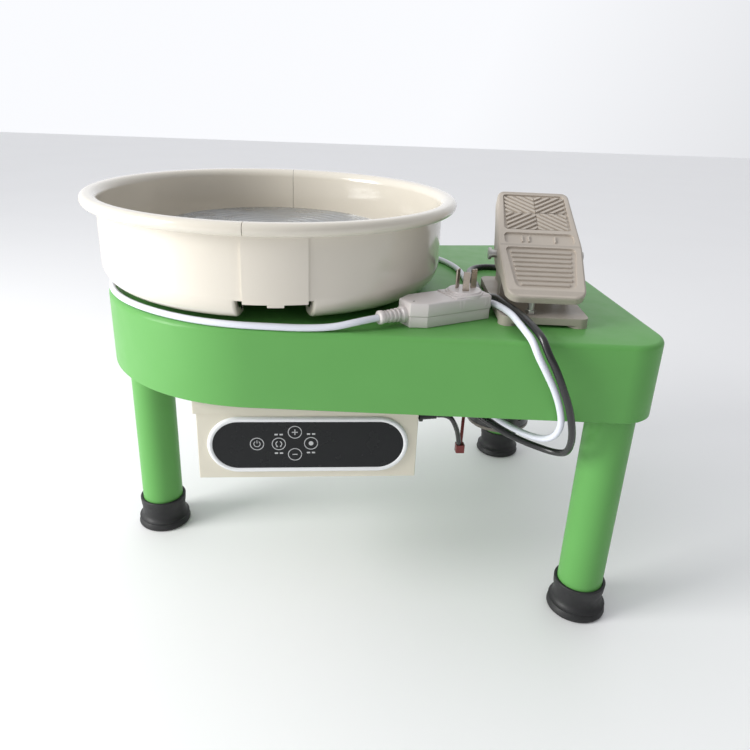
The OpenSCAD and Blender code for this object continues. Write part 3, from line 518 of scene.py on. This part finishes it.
def slab(outline, low, high, top_round=0.0, bottom_round=0.0, steps=4):
    """An outline raised from low to high, with its upper and lower edges rounded."""
    levels = []
    for k in range(steps + 1 if bottom_round else 1):
        a = math.pi / 2 * (k / steps if bottom_round else 1)
        levels.append((bottom_round * (1 - math.sin(a)), low + bottom_round * (1 - math.cos(a))))
    for k in range(steps + 1 if top_round else 1):
        a = math.pi / 2 * (k / steps if top_round else 0)
        levels.append((top_round * (1 - math.cos(a)), high - top_round * (1 - math.sin(a))))
    return loft([[(x, y, z) for x, y in inset(outline, by)] for by, z in levels])


# ---------- table ----------

NOSE_R, CORNER_X, CORNER_Y, CORNER_R = 0.178, 0.335, 0.174, 0.038
SHEET, HEM_R, TABLE_EDGE = 0.0025, 0.0006, 0.005


def tangent(a, b):
    """Direction of the outside tangent from circle a to circle b, each (x, y, r)."""
    gap = math.hypot(b[0] - a[0], b[1] - a[1])
    return math.atan2(b[1] - a[1], b[0] - a[0]) - math.acos((a[2] - b[2]) / gap)


def wrapped(circles, by, step=math.radians(3)):
    """The outline wrapped round circles, drawn in by a distance."""
    out = []
    for i, c in enumerate(circles):
        start = tangent(circles[i - 1], c)
        sweep = (tangent(c, circles[(i + 1) % len(circles)]) - start) % (2 * math.pi)
        steps = math.ceil(sweep / step)
        for k in range(steps + 1):
            a = start + sweep * k / steps
            out.append((c[0] + (c[2] - by) * math.cos(a), c[1] + (c[2] - by) * math.sin(a)))
    return out


TABLE_CIRCLES = [
    (WHEEL.x, WHEEL.y, NOSE_R),
    (WHEEL.x + CORNER_X, -CORNER_Y, CORNER_R),
    (WHEEL.x + CORNER_X, CORNER_Y, CORNER_R),
]
table_levels = [(SHEET, TABLE_Z - SHEET), (SHEET, APRON_Z + HEM_R), (SHEET - HEM_R, APRON_Z)]
table_levels += [(HEM_R, APRON_Z), (0, APRON_Z + HEM_R)]
table_levels += [(TABLE_EDGE - x, TABLE_Z - TABLE_EDGE + z) for x, z in arc(0, 0, TABLE_EDGE, 0, 90, 6)]
table = loft([[(x, y, z) for x, y in wrapped(TABLE_CIRCLES, by)] for by, z in table_levels])
piece("table_shell", table, GREEN, ["table_top", "table_apron"])

# ---------- rubber feet ----------

LEG_R, FOOT_R, FOOT_H, FOOT_FLOOR = 0.024, 0.0315, 0.038, 0.009
for foot in ("foot_left", "foot_front_right", "foot_back_right"):
    at = centre(foot)
    inner, waist, collar = LEG_R + 0.0002, LEG_R + 0.0022, LEG_R + 0.0036
    outline = [(AXIS_R, 0.0), (FOOT_R - 0.0025, 0.0)]
    outline += arc(FOOT_R - 0.003, 0.003, 0.003, -75, 20, 6)
    outline += [(FOOT_R - 0.0009, 0.0065), (FOOT_R - 0.0022, 0.0088)]
    outline += arc(waist + 0.0075, 0.0175, 0.0075, 245, 180, 8)
    outline += [(waist, 0.026), (collar - 0.0006, 0.0285)]
    outline += arc(collar - 0.0014, FOOT_H - 0.0014, 0.0014, 0, 90, 5)
    outline += arc(inner + 0.0012, FOOT_H - 0.0012, 0.0012, 90, 180, 4)
    outline += [(inner, FOOT_FLOOR), (AXIS_R, FOOT_FLOOR)]
    piece(f"rubber_{foot}", turned_part(outline, at, 96), RUBBER, [foot], sharp=50)

# ---------- splash pan ----------

SEAM = math.radians(85)
# The pan's section in millimetres: radii from the wheel's axis, heights above the table
PAN = {
    "wall": 182, "thick": 3, "rim": 197, "lip": 6, "lip_z": 93, "floor": 19, "fillet": 30,
    "skirt": 24, "low": 7, "hem_r": 150,
}
COLLAR_IN, COLLAR_OUT, COLLAR_Z = 45, 48, 32.5
# The skirt's notches reach this many degrees from each joint and this high, and their edges turn in
NOTCH_DEG, NOTCH_LEAD, NOTCH_TOP = 18.6, 3.6, 28
RETURN_R, RETURN_IN = 3.0, 6.0
SKIRT_STEPS, NOTCH_STEPS, TURN_STEPS, HALF_STEPS, LEAD_STEPS = 12, 12, 6, 96, 4
JOINT_GAP_DEG = 0.08


def pan_section():
    """The pan's closed section above the notch, then the skirt's outer and inner lines below that."""
    wall, inner = PAN["wall"], PAN["wall"] - PAN["thick"]
    turn_r, turn_z = wall - PAN["skirt"], PAN["low"] + PAN["skirt"]
    inner_turn = PAN["skirt"] - PAN["thick"]
    cut_out = math.degrees(math.asin((NOTCH_TOP - turn_z) / PAN["skirt"]))
    cut_in = math.degrees(math.asin((NOTCH_TOP - turn_z) / inner_turn))
    floor_top = PAN["floor"] + PAN["thick"]
    bowl_r, bowl_z = inner - PAN["fillet"], floor_top + PAN["fillet"]
    under = PAN["fillet"] + PAN["thick"]
    lip_r = PAN["rim"] - PAN["lip"]
    main = arc(turn_r, turn_z, PAN["skirt"], cut_out, 0, 2)
    main += [(wall, 45), (wall, 60), (wall, 75)]
    main += arc(wall + 3, PAN["lip_z"] - 8, 3, 180, 90, 4)
    main += arc(lip_r, PAN["lip_z"], PAN["lip"], -110, 90, 14)
    main += arc(inner + 9, PAN["lip_z"] - 3, 9, 90, 180, 8)
    main += [(inner, 75), (inner, 63)]
    main += arc(bowl_r, bowl_z, PAN["fillet"], 0, -90, 14)
    main += [(120, floor_top), (85, floor_top)] + arc(COLLAR_OUT + 2, floor_top + 2, 2, -90, -180, 3)
    main += [(COLLAR_OUT, 30)] + arc((COLLAR_IN + COLLAR_OUT) / 2, COLLAR_Z, 1.5, 0, 180, 6)
    main += [(r, PAN["floor"]) for r in (COLLAR_IN, 85, 120)]
    main += arc(bowl_r, bowl_z, under, -90, -math.degrees(math.acos(PAN["fillet"] / under)), 10)
    main += [(inner, 35)] + arc(turn_r, turn_z, inner_turn, 0, cut_in, 2)
    outer = arc(turn_r, turn_z, PAN["skirt"], cut_out, -90, SKIRT_STEPS)
    outer.append((PAN["hem_r"], PAN["low"]))
    within = arc(turn_r, turn_z, inner_turn, cut_in, -90, SKIRT_STEPS)
    within.append((PAN["hem_r"], PAN["low"] + PAN["thick"]))
    return main, outer, within, (turn_r, turn_z)


def drawn_in(point, middle, by):
    """A point of the skirt moved towards the middle of its bend."""
    if not by:
        return point
    away = Vector((middle[0] - point[0], middle[1] - point[1]))
    if point[0] < middle[0]:
        away = Vector((0, 1))
    return tuple(Vector(point) + away.normalized() * by)


def around_wheel(section, a):
    """Points (radius, height above the table), in millimetres, as places at an angle on the wheel."""
    return [
        (WHEEL.x + r * MM * math.cos(a), WHEEL.y + r * MM * math.sin(a), TABLE_Z + z * MM)
        for r, z in section
    ]


def pan_half(turn):
    """One half of the pan about the wheel's axis, with the skirt cut away under both joints."""
    main, outer, within, middle = pan_section()
    gap = JOINT_GAP_DEG
    first, last = NOTCH_DEG, 180 - NOTCH_LEAD
    bend = math.degrees(RETURN_R / PAN["wall"])
    # Each column is its angle and how far the skirt is drawn in, or None where there is no skirt
    columns = [(gap + (first - gap) * k / NOTCH_STEPS, None) for k in range(NOTCH_STEPS)]
    curl = []
    for k in range(TURN_STEPS + 1):
        a = math.pi / 2 * k / TURN_STEPS
        curl.append((bend * (1 - math.cos(a)), RETURN_R * (1 - math.sin(a))))
    columns += [(first, RETURN_IN), *[(first + d, by) for d, by in curl]]
    plain = last - first - 2 * bend
    columns += [(first + bend + plain * k / HALF_STEPS, 0) for k in range(1, HALF_STEPS)]
    columns += [*[(last - d, by) for d, by in curl[::-1]], (last, RETURN_IN)]
    columns += [(last + (180 - gap - last) * (k + 1) / LEAD_STEPS, None) for k in range(LEAD_STEPS)]
    verts, rows = [], []
    for angle, by in columns:
        row = list(main)
        if by is not None:
            row += [drawn_in(p, middle, by) for p in within[1:]]
            row += [drawn_in(p, middle, by) for p in outer[1:]]
        rows.append((len(verts), by))
        verts += around_wheel(row, math.radians(angle) + turn)
    n, m = len(main), len(within) - 1
    faces = [tuple(range(n))]
    for (i, by), (j, by_next) in zip(rows, rows[1:]):
        faces += [(i + k, i + k + 1, j + k + 1, j + k) for k in range(n - 1)]
        if by is None or by_next is None:
            faces.append((i + n - 1, i, j, j + n - 1))
            if (by is None) != (by_next is None):
                at = j if by is None else i
                side_in = [at + n - 1, *range(at + n, at + n + m)]
                side_out = [at, *range(at + n + m, at + n + 2 * m)]
                faces += [(side_in[k], side_in[k + 1], side_out[k + 1], side_out[k]) for k in range(m)]
            continue
        ring = [n - 1, *range(n, n + m), *range(n + 2 * m - 1, n + m - 1, -1), 0]
        faces += [(i + p, i + q, j + q, j + p) for p, q in zip(ring, ring[1:])]
    faces.append(tuple(rows[-1][0] + k for k in range(n))[::-1])
    return verts, faces


def wall_patch(turn, start, stop, levels, steps):
    """A plate on the pan's wall: levels are (height, outer radius, inner radius) in millimetres."""
    ring = [(r, z) for z, r, _ in levels] + [(r, z) for z, _, r in reversed(levels)]
    angles = [math.radians(start + (stop - start) * k / steps) + turn for k in range(steps + 1)]
    return loft([around_wheel(ring, a) for a in angles])


# The panel that laps over each joint, and the tab under it: degrees from the joint, then levels
PANEL_SPAN, TAB_SPAN = (-1.3, 16.9), (5.5, 10.2)
PANEL_LEVELS = [(25.4, 183.6, 181.2), (27, 184.1, 181.6)]
PANEL_LEVELS += [(z, 184.2, 181.6) for z in (50, 84, 88)]
TAB_LEVELS = [(22.8, 183.0, 180.8), (26, 183.2, 180.8)]


def pan_piece(name, node, body, turn):
    """A half of the pan with its panel and tab, as one piece."""
    panel = wall_patch(turn, *PANEL_SPAN, PANEL_LEVELS, 24)
    tab = wall_patch(turn, *TAB_SPAN, TAB_LEVELS, 6)
    half = joined(pan_half(turn), panel, tab)
    piece(name, half, IVORY, [node], body, 0.0011, 3, 42)


pan_piece("pan_half_left", "basin_half_left", "basin_left", SEAM)
pan_piece("pan_half_right", "basin_half_right", "frame", SEAM + math.pi)

# ---------- wheel head ----------

HEAD_R, HEAD_TOP, HEAD_T = 0.125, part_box("wheel_head")[1].z, 0.010
HEAD_LOW, HEAD_CHAMFER, HEAD_EDGE = HEAD_TOP - HEAD_T, 0.001, 0.002
GROOVE, GROOVE_W, GROOVES, GROOVE_FIRST, GROOVE_PITCH = 0.0006, 0.0007, 8, 0.025, 0.0125
head_outline = [(AXIS_R, HEAD_LOW), (HEAD_R - HEAD_CHAMFER, HEAD_LOW)]
head_outline += [(HEAD_R, HEAD_LOW + HEAD_CHAMFER)]
head_outline += arc(HEAD_R - HEAD_EDGE, HEAD_TOP - HEAD_EDGE, HEAD_EDGE, 0, 90, 5)
for k in reversed(range(GROOVES)):
    r = GROOVE_FIRST + GROOVE_PITCH * k
    head_outline += [(r + GROOVE_W, HEAD_TOP), (r + GROOVE_W / 2, HEAD_TOP - GROOVE)]
    head_outline += [(r - GROOVE_W / 2, HEAD_TOP - GROOVE), (r - GROOVE_W, HEAD_TOP)]
head_outline += [(AXIS_R, HEAD_TOP)]
head = turned_part(head_outline, WHEEL, 160)
piece("turned_wheel_head", head, HEAD, ["wheel_head"], "wheel", sharp=30)

# ---------- touch panel ----------

GLASS_W, GLASS_H, BEZEL_W = 0.191, 0.052, 0.0048
# The bezel's section: how far in from its outer edge, and how far out from the box
BEZEL_PROFILE = [(0, 0), (0, 0.0009), (0.0005, 0.0019), (0.0014, 0.0027), (0.0027, 0.0030)]
BEZEL_PROFILE += [(0.0041, 0.0027), (0.0051, 0.0020), (0.0057, 0.0012), (0.0057, 0)]


def stadium(r, steps=32):
    """A level stadium's outline of end radius r about the panel's middle."""
    straight = (GLASS_W - GLASS_H) / 2
    return arc(straight, 0, r, -90, 90, steps) + arc(-straight, 0, r, 90, 270, steps)


def on_front(points, out):
    """Panel points (across, up) as places on the front of the box, a distance out from it."""
    return [(GLASS.x + x, BOX_Y - out, GLASS.z + y) for x, y in points]


bezel_r = GLASS_H / 2 + BEZEL_W
bezel = loft([on_front(stadium(bezel_r - by), out) for by, out in BEZEL_PROFILE], looped=True)
piece("panel_rounded_bezel", bezel, BEZEL, ["panel_bezel"], sharp=70)
GLASS_OUT, FILM_EDGE = 0.0021, 0.0003
film_r = GLASS_H / 2 + 0.0001
film_levels = [(0, 0), (0, GLASS_OUT - FILM_EDGE), (FILM_EDGE, GLASS_OUT)]
film = loft([on_front(stadium(film_r - by), out) for by, out in film_levels])
piece("panel_black_film", film, GLOSS, ["panel_glass"], sharp=30)

ICON_R, LINE = 0.0066, 0.00075
INK_OUT, INK_ROOT = GLASS_OUT + 0.00012, GLASS_OUT - 0.0002


def printed_arc(x, y, r, start, stop, line=LINE, steps=36):
    """A flat band of ink along an arc."""
    outer = arc(x, y, r + line / 2, start, stop, steps)
    inner = arc(x, y, r - line / 2, start, stop, steps)
    rings = []
    for a, b in zip(outer, inner):
        rings.append([*on_front([a, b], INK_OUT), *on_front([b, a], INK_ROOT)])
    return loft(rings)


def printed(outline):
    """A flat mark of ink with this outline."""
    return loft([on_front(outline, INK_ROOT), on_front(outline, INK_OUT)])


def printed_bar(x, y, w, h):
    return printed(corners_of(x, y, w, h))


def printed_dot(x, y, r):
    return printed(arc(x, y, r, 0, 345, 23))


ICONS = {"power": (-0.0515, 0.0015), "turn": (-0.030, 0.0015), "plus": (-0.014, 0.0145)}
ICONS |= {"minus": (-0.014, -0.0105), "dot": (0.002, 0.002)}
marks = [printed_arc(x, y, ICON_R, 0, 360) for x, y in ICONS.values()]
x, y = ICONS["power"]
marks += [printed_arc(x, y, 0.0031, 125, 415, 0.0007), printed_bar(x, y + 0.0024, 0.0007, 0.0032)]
x, y = ICONS["turn"]
marks += [printed_arc(x, y, 0.0029, 115, 245, 0.0008), printed_arc(x, y, 0.0029, -65, 65, 0.0008)]
marks += [printed_bar(x + dx, y - 0.0031, 0.0016, 0.0007) for dx in (-0.0018, 0.0018)]
x, y = ICONS["plus"]
marks += [printed_bar(x, y, 0.006, 0.0009)]
marks += [printed_bar(x, y + dy, 0.0009, 0.0024) for dy in (0.0018, -0.0018)]
x, y = ICONS["minus"]
marks += [printed_bar(x, y, 0.005, 0.0009)]
x, y = ICONS["dot"]
marks += [printed_dot(x, y, 0.0024)]
for icon, side in (("turn", 1), ("turn", -1), ("dot", 1), ("dot", -1)):
    x, y = ICONS[icon]
    marks += [printed_bar(x + dx, y + side * 0.0105, 0.0032, 0.0016) for dx in (-0.0025, 0.0025)]
piece("panel_printed_marks", joined(*marks), INK, [])

# ---------- foot pedal ----------

PEDAL = Matrix.Translation((0.174, -0.161, TABLE_Z)) @ Matrix.Rotation(math.radians(-5.7), 4, "Z")
LIP_H, TREAD_DEG = 0.0297, 32
TREAD = PEDAL @ Matrix.Translation((0, 0, LIP_H)) @ Matrix.Rotation(math.radians(TREAD_DEG), 4, "X")
TREAD = TREAD @ Matrix.Scale(MM, 4)
# The treadle in millimetres: x across it, y up its slope from its low lip, z out from its face
PLATE, WALL, WELL, EDGE = 4, 3, 2.3, 2.4
TREAD_CORNERS = [(-37.5, 0, 13), (37.5, 0, 13), (42, 70, 90)]
TREAD_CORNERS += [(37, 150, 8), (-37, 150, 8), (-42, 70, 90)]
# Depth of the treadle's side along its length
TREAD_DEPTH = [(0, 8.5), (40, 15), (62, 25), (92, 25), (118, 18), (151, 14)]
# The three wells' corners, from the high end down
WELLS = [
    [(-34.5, 91.5, 4), (34.5, 91.5, 4), (32, 144.5, 4), (-32, 144.5, 4)],
    [(-35.5, 71.5, 4.5), (35.5, 71.5, 4.5), (35, 87, 4.5), (-35, 87, 4.5)],
    [(-29, 11.5, 8), (29, 11.5, 8), (35.5, 66.5, 4.5), (-35.5, 66.5, 4.5)],
]


def finer(outline, step):
    """The outline with its long edges cut into shorter ones."""
    out = []
    for a, b in zip(outline, outline[1:] + outline[:1]):
        cuts = max(1, math.ceil(math.dist(a, b) / step))
        out += [(a[0] + (b[0] - a[0]) * k / cuts, a[1] + (b[1] - a[1]) * k / cuts) for k in range(cuts)]
    return out


def depth_at(s):
    """Depth of the treadle's side at s along it."""
    for (a, low_depth), (b, high_depth) in zip(TREAD_DEPTH, TREAD_DEPTH[1:]):
        if s <= b:
            return low_depth + (high_depth - low_depth) * max(s - a, 0) / (b - a)
    return TREAD_DEPTH[-1][1]


def clipped(polygon, low, high):
    """A convex polygon cut to the rectangle low..high."""
    for axis, limit, sign in ((0, low[0], 1), (0, high[0], -1), (1, low[1], 1), (1, high[1], -1)):
        kept = []
        for a, b in zip(polygon, polygon[1:] + polygon[:1]):
            da, db = sign * (a[axis] - limit), sign * (b[axis] - limit)
            if da >= 0:
                kept.append(a)
            if da * db < 0:
                t = da / (da - db)
                kept.append((a[0] + (b[0] - a[0]) * t, a[1] + (b[1] - a[1]) * t))
        polygon = kept
        if len(polygon) < 3:
            return []
    return polygon


def spread_of(polygon):
    """Area of a polygon."""
    pairs = zip(polygon, polygon[1:] + polygon[:1])
    return abs(sum(a[0] * b[1] - b[0] * a[1] for a, b in pairs)) / 2


def tread_body():
    """The treadle's shell: side walls, plate and a face with three wells."""
    outline = finer(rounded_outline(TREAD_CORNERS, 8), 4)

    def level(by, n=None):
        return [(x, y, -depth_at(y) if n is None else n) for x, y in inset(outline, by)]

    rings = [level(WALL, -PLATE), level(WALL), level(0)]
    rings += [level(by, n) for by, n in [(EDGE - x, y - EDGE) for x, y in arc(0, 0, EDGE, 0, 90, 5)]]
    verts, faces = loft(rings)
    # The loft's end cap gives way to a face with the wells cut out of it
    face_loops = [[Vector(p) for p in rings[-1]]]
    parts = [(verts, faces[:-1])]
    for corners in WELLS:
        loop = rounded_outline(corners, 5)
        face_loops.append([Vector((x, y, 0)) for x, y in loop])
        well_verts, well_faces = loft([[(x, y, n) for x, y in loop] for n in (0, -WELL)])
        parts.append((well_verts, well_faces[:-2] + well_faces[-1:]))
    flat = [tuple(p) for loop in face_loops for p in loop]
    parts.append((flat, [tuple(t) for t in geometry.tessellate_polygon(face_loops)]))
    return joined(*parts)


HERRING_MIDDLE, HERRING_PITCH, HERRING_BAR, HERRING_FAR = 117.2, 6.1, 2.9, 34
HERRING_RISE = HERRING_FAR * math.tan(math.radians(33))
QUARTER_LOW, QUARTER_HIGH, LEAST_AREA = (0.4, 0.4), (31, 25), 9
RIBS, RIB_FIRST, RIB_PITCH, RIB_BAR = 8, 18, 6.15, 3.4
DASH_Y, DASH_W, DASH_L = 79.3, 1.6, 8


def tread_ribs():
    """Raised bars in the wells: a herringbone in four quarters, ribs across and three dashes."""
    out = []
    rib_low, rib_high = -WELL - 0.2, -0.1
    for sx in (1, -1):
        for sy in (1, -1):
            for k in range(-4, 6):
                near = k * HERRING_PITCH + 1
                far = near + HERRING_RISE
                strip = [(0, near), (HERRING_FAR, far)]
                strip += [(HERRING_FAR, far + HERRING_BAR), (0, near + HERRING_BAR)]
                strip = clipped(strip, QUARTER_LOW, QUARTER_HIGH)
                if len(strip) < 3 or spread_of(strip) < LEAST_AREA:
                    continue
                strip = [(sx * x, HERRING_MIDDLE + sy * y) for x, y in strip]
                if sx * sy < 0:
                    strip.reverse()
                out.append(slab(strip, rib_low, rib_high, 0.4, steps=2))
    for k in range(RIBS):
        y = RIB_FIRST + RIB_PITCH * k
        # The well widens up the slope, and its round corners shorten the lowest rib
        half = 29 + 5 * (y - 13) / 53.5 - 3.2 - (2.5 if k == 0 else 0)
        rib = rounded_outline(corners_of(0, y, 2 * half, RIB_BAR, 1.5), 4)
        out.append(slab(rib, rib_low, rib_high - 0.2, 0.9, steps=3))
    for x in (-17, -10.5, 16):
        dash = rounded_outline(corners_of(x, DASH_Y, DASH_W, DASH_L, 0.6), 3)
        out.append(slab(dash, rib_low, rib_high - 0.5, 0.4, steps=2))
    return joined(*out)


treadle = placed(joined(tread_body(), tread_ribs()), TREAD)
piece("pedal_cast_treadle", treadle, CAST, ["pedal_tread"], "treadle", 0.0005, 2, 40)
soften_node("pedal_base", 0.0009, 3)

# ---------- plug ----------

PLUG = Matrix.Translation((0.1278, -0.1355, TABLE_Z)) @ Matrix.Rotation(math.radians(25.5), 4, "Z")
PLUG = PLUG @ Matrix.Scale(MM, 4)
PLUG_AXIS_R = 0.01
# The plug in millimetres: x towards the side the pins point, y across it, z up from the table
PLUG_CORNERS = [(-75, 0, 1.2), (0, 0, 2.4), (0, 36, 2.4), (-75, 36, 1.2), (-90, 28, 1.2), (-90, 8, 1.2)]
COVER_LOW, COVER_TOP, BASE_TOP, CORE_LOW, CORE_TOP = 11.15, 24, 10.85, 8, 14
DISC_AT = (-21, 18)
plug_line = finer(rounded_outline(PLUG_CORNERS, 5), 6)


def lump(x, y, z, w, l, h, r=0.4):
    """A small block with softened edges, standing on z about x, y."""
    return slab(rounded_outline(corners_of(x, y, w, l, r), 3), z, z + h, r, steps=2)


cover = slab(plug_line, COVER_LOW, COVER_TOP, 1.7, 0.5)
lower = slab(inset(plug_line, 0.7), 0, BASE_TOP, 0.4, 1.2)
core = slab(inset(plug_line, 1.4), CORE_LOW, CORE_TOP)
disc_outline = [(PLUG_AXIS_R, 22), (18.5, 22), (18.5, 25.4)] + arc(17.8, 25.4, 0.7, 0, 90, 4)
disc_outline += [(16.6, 26.2)] + arc(15.7, 27.3, 0.7, 0, 90, 4) + [(PLUG_AXIS_R, 28)]
disc = turned_part(disc_outline, DISC_AT, 72)
shelf_line = rounded_outline([(-42, 1.6, 1), (-1.6, 1.6, 1), (-1.6, 34.4, 1), (-42, 34.4, 1)])
shelf = slab(shelf_line, 22, 25, 0.8)
grips = [lump(-38 + 4.4 * k, 0.35, 14, 2.6, 1.5, 8.2) for k in (0, 1, 7, 8)]
cover_part = placed(joined(cover, disc, shelf, *grips), PLUG)
plug_cover = piece("plug_cover_moulding", cover_part, PLUG_PLASTIC, ["plug_cover"])
base_part = placed(joined(lower, core), PLUG)
plug_base = piece("plug_base_moulding", base_part, PLUG_PLASTIC, ["plug_base"])
# Painted shade: thin black gloss marks on the cover stand in for the dark inside of a slot in its side
# and of a recess in its top, which are not cut
slot_shade_marks = [lump(-33, 0.1, 15.5, 1.0, 0.9, 6, 0.2), lump(-83, 13, 23.2, 2.6, 1.4, 0.95, 0.4)]
plug_slot_shade = piece("plug_painted_slot_shade", placed(joined(*slot_shade_marks), PLUG), GLOSS, [])
RELIEF_H, RELIEF_L, RELIEF_RIBS = 11, 28, 4
relief_outline = [(PLUG_AXIS_R, -1), (7.9, -1), (7.9, 3)] + arc(6.9, 3.5, 1, 0, 90, 3)
for k in range(RELIEF_RIBS):
    at, r = 7.2 + 4.1 * k, 6.7 - 0.3 * k
    relief_outline += [(5.0, at - 0.3), (r - 0.5, at), *arc(r - 0.5, at + 0.5, 0.5, -90, 0, 2)]
    relief_outline += [*arc(r - 0.5, at + 1.8, 0.5, 0, 90, 2), (5.0, at + 2.6)]
relief_outline += [(4.9, 23.4), (6.3, 23.6), (6.5, 24.2), (6.5, RELIEF_L - 0.8)]
relief_outline += [(5.7, RELIEF_L), (PLUG_AXIS_R, RELIEF_L)]
ALONG = Matrix.Translation((-90, 18, RELIEF_H)) @ Matrix.Rotation(math.radians(-90), 4, "Y")
relief = placed(turned_part(relief_outline, (0, 0), 48), PLUG @ ALONG)
plug_relief = piece("plug_ribbed_relief", relief, PLUG_PLASTIC, ["plug_relief"], sharp=50)
soften_node("plug_pins", 0.0003, 2)

# ---------- CAD nodes with softened edges ----------

SOFTENED = {
    0.0003: "box_hangers",
    0.0005: "motor_bracket mains_gland pedal_gland pedal_lead_gland motor_lead_gland",
    0.0006: "motor_flange",
    0.0007: "control_box control_cover",
    0.0008: "motor_end_ring lead_connector",
}
for width, names in SOFTENED.items():
    for name in names.split():
        soften_node(name, width)

# ---------- stage and light ----------

PALE = Surface("pale floor", (0.93, 0.93, 0.935), 0.6)
PALE.tint(PALE.noise(3, 2), (0.91, 0.91, 0.915), 0.5)
floor_mesh = bpy.data.meshes.new("floor")
FLOOR_SIDE = 12
floor_mesh.from_pydata(corners_of(0, 0, FLOOR_SIDE, FLOOR_SIDE, 0), [], [(0, 1, 2, 3)])
floor_mesh.materials.append(PALE.material)
floor = bpy.data.objects.new("floor", floor_mesh)
bpy.context.scene.collection.objects.link(floor)

world = bpy.data.worlds.new("studio")
world.use_nodes = True
world.node_tree.nodes["Background"].inputs["Color"].default_value = (0.96, 0.97, 1.0, 1)
tree = world.node_tree
# The sky brightens towards this side, from DIM to BRIGHT
BRIGHT_SIDE = (-0.62, 0.70, 0.35)
DIM, BRIGHT = 0.26, 1.0
facing = tree.nodes.new("ShaderNodeVectorMath")
facing.operation = "DOT_PRODUCT"
facing.inputs[1].default_value = BRIGHT_SIDE
tree.links.new(tree.nodes.new("ShaderNodeTexCoord").outputs["Generated"], facing.inputs[0])
glow = tree.nodes.new("ShaderNodeMapRange")
for socket, value in {"From Min": -0.7, "From Max": 0.55, "To Min": DIM, "To Max": BRIGHT}.items():
    glow.inputs[socket].default_value = value
tree.links.new(facing.outputs["Value"], glow.inputs["Value"])
tree.links.new(glow.outputs["Result"], tree.nodes["Background"].inputs["Strength"])
bpy.context.scene.world = world
bpy.context.scene.view_settings.view_transform = "Standard"


def area_light(name, at, aim, size, power, colour=(1, 1, 1)):
    data = bpy.data.lights.new(name, "AREA")
    data.shape = "RECTANGLE"
    data.size, data.size_y = size
    data.energy = power
    data.color = colour
    lamp = bpy.data.objects.new(name, data)
    lamp.location = at
    lamp.rotation_mode = "QUATERNION"
    lamp.rotation_quaternion = (Vector(aim) - Vector(at)).to_track_quat("-Z", "Y")
    bpy.context.scene.collection.objects.link(lamp)


AIM = (0.0, 0.0, 0.25)
area_light("window_left", (-1.9, -0.55, 0.95), AIM, (0.9, 1.3), 42, (1.0, 1.0, 0.98))
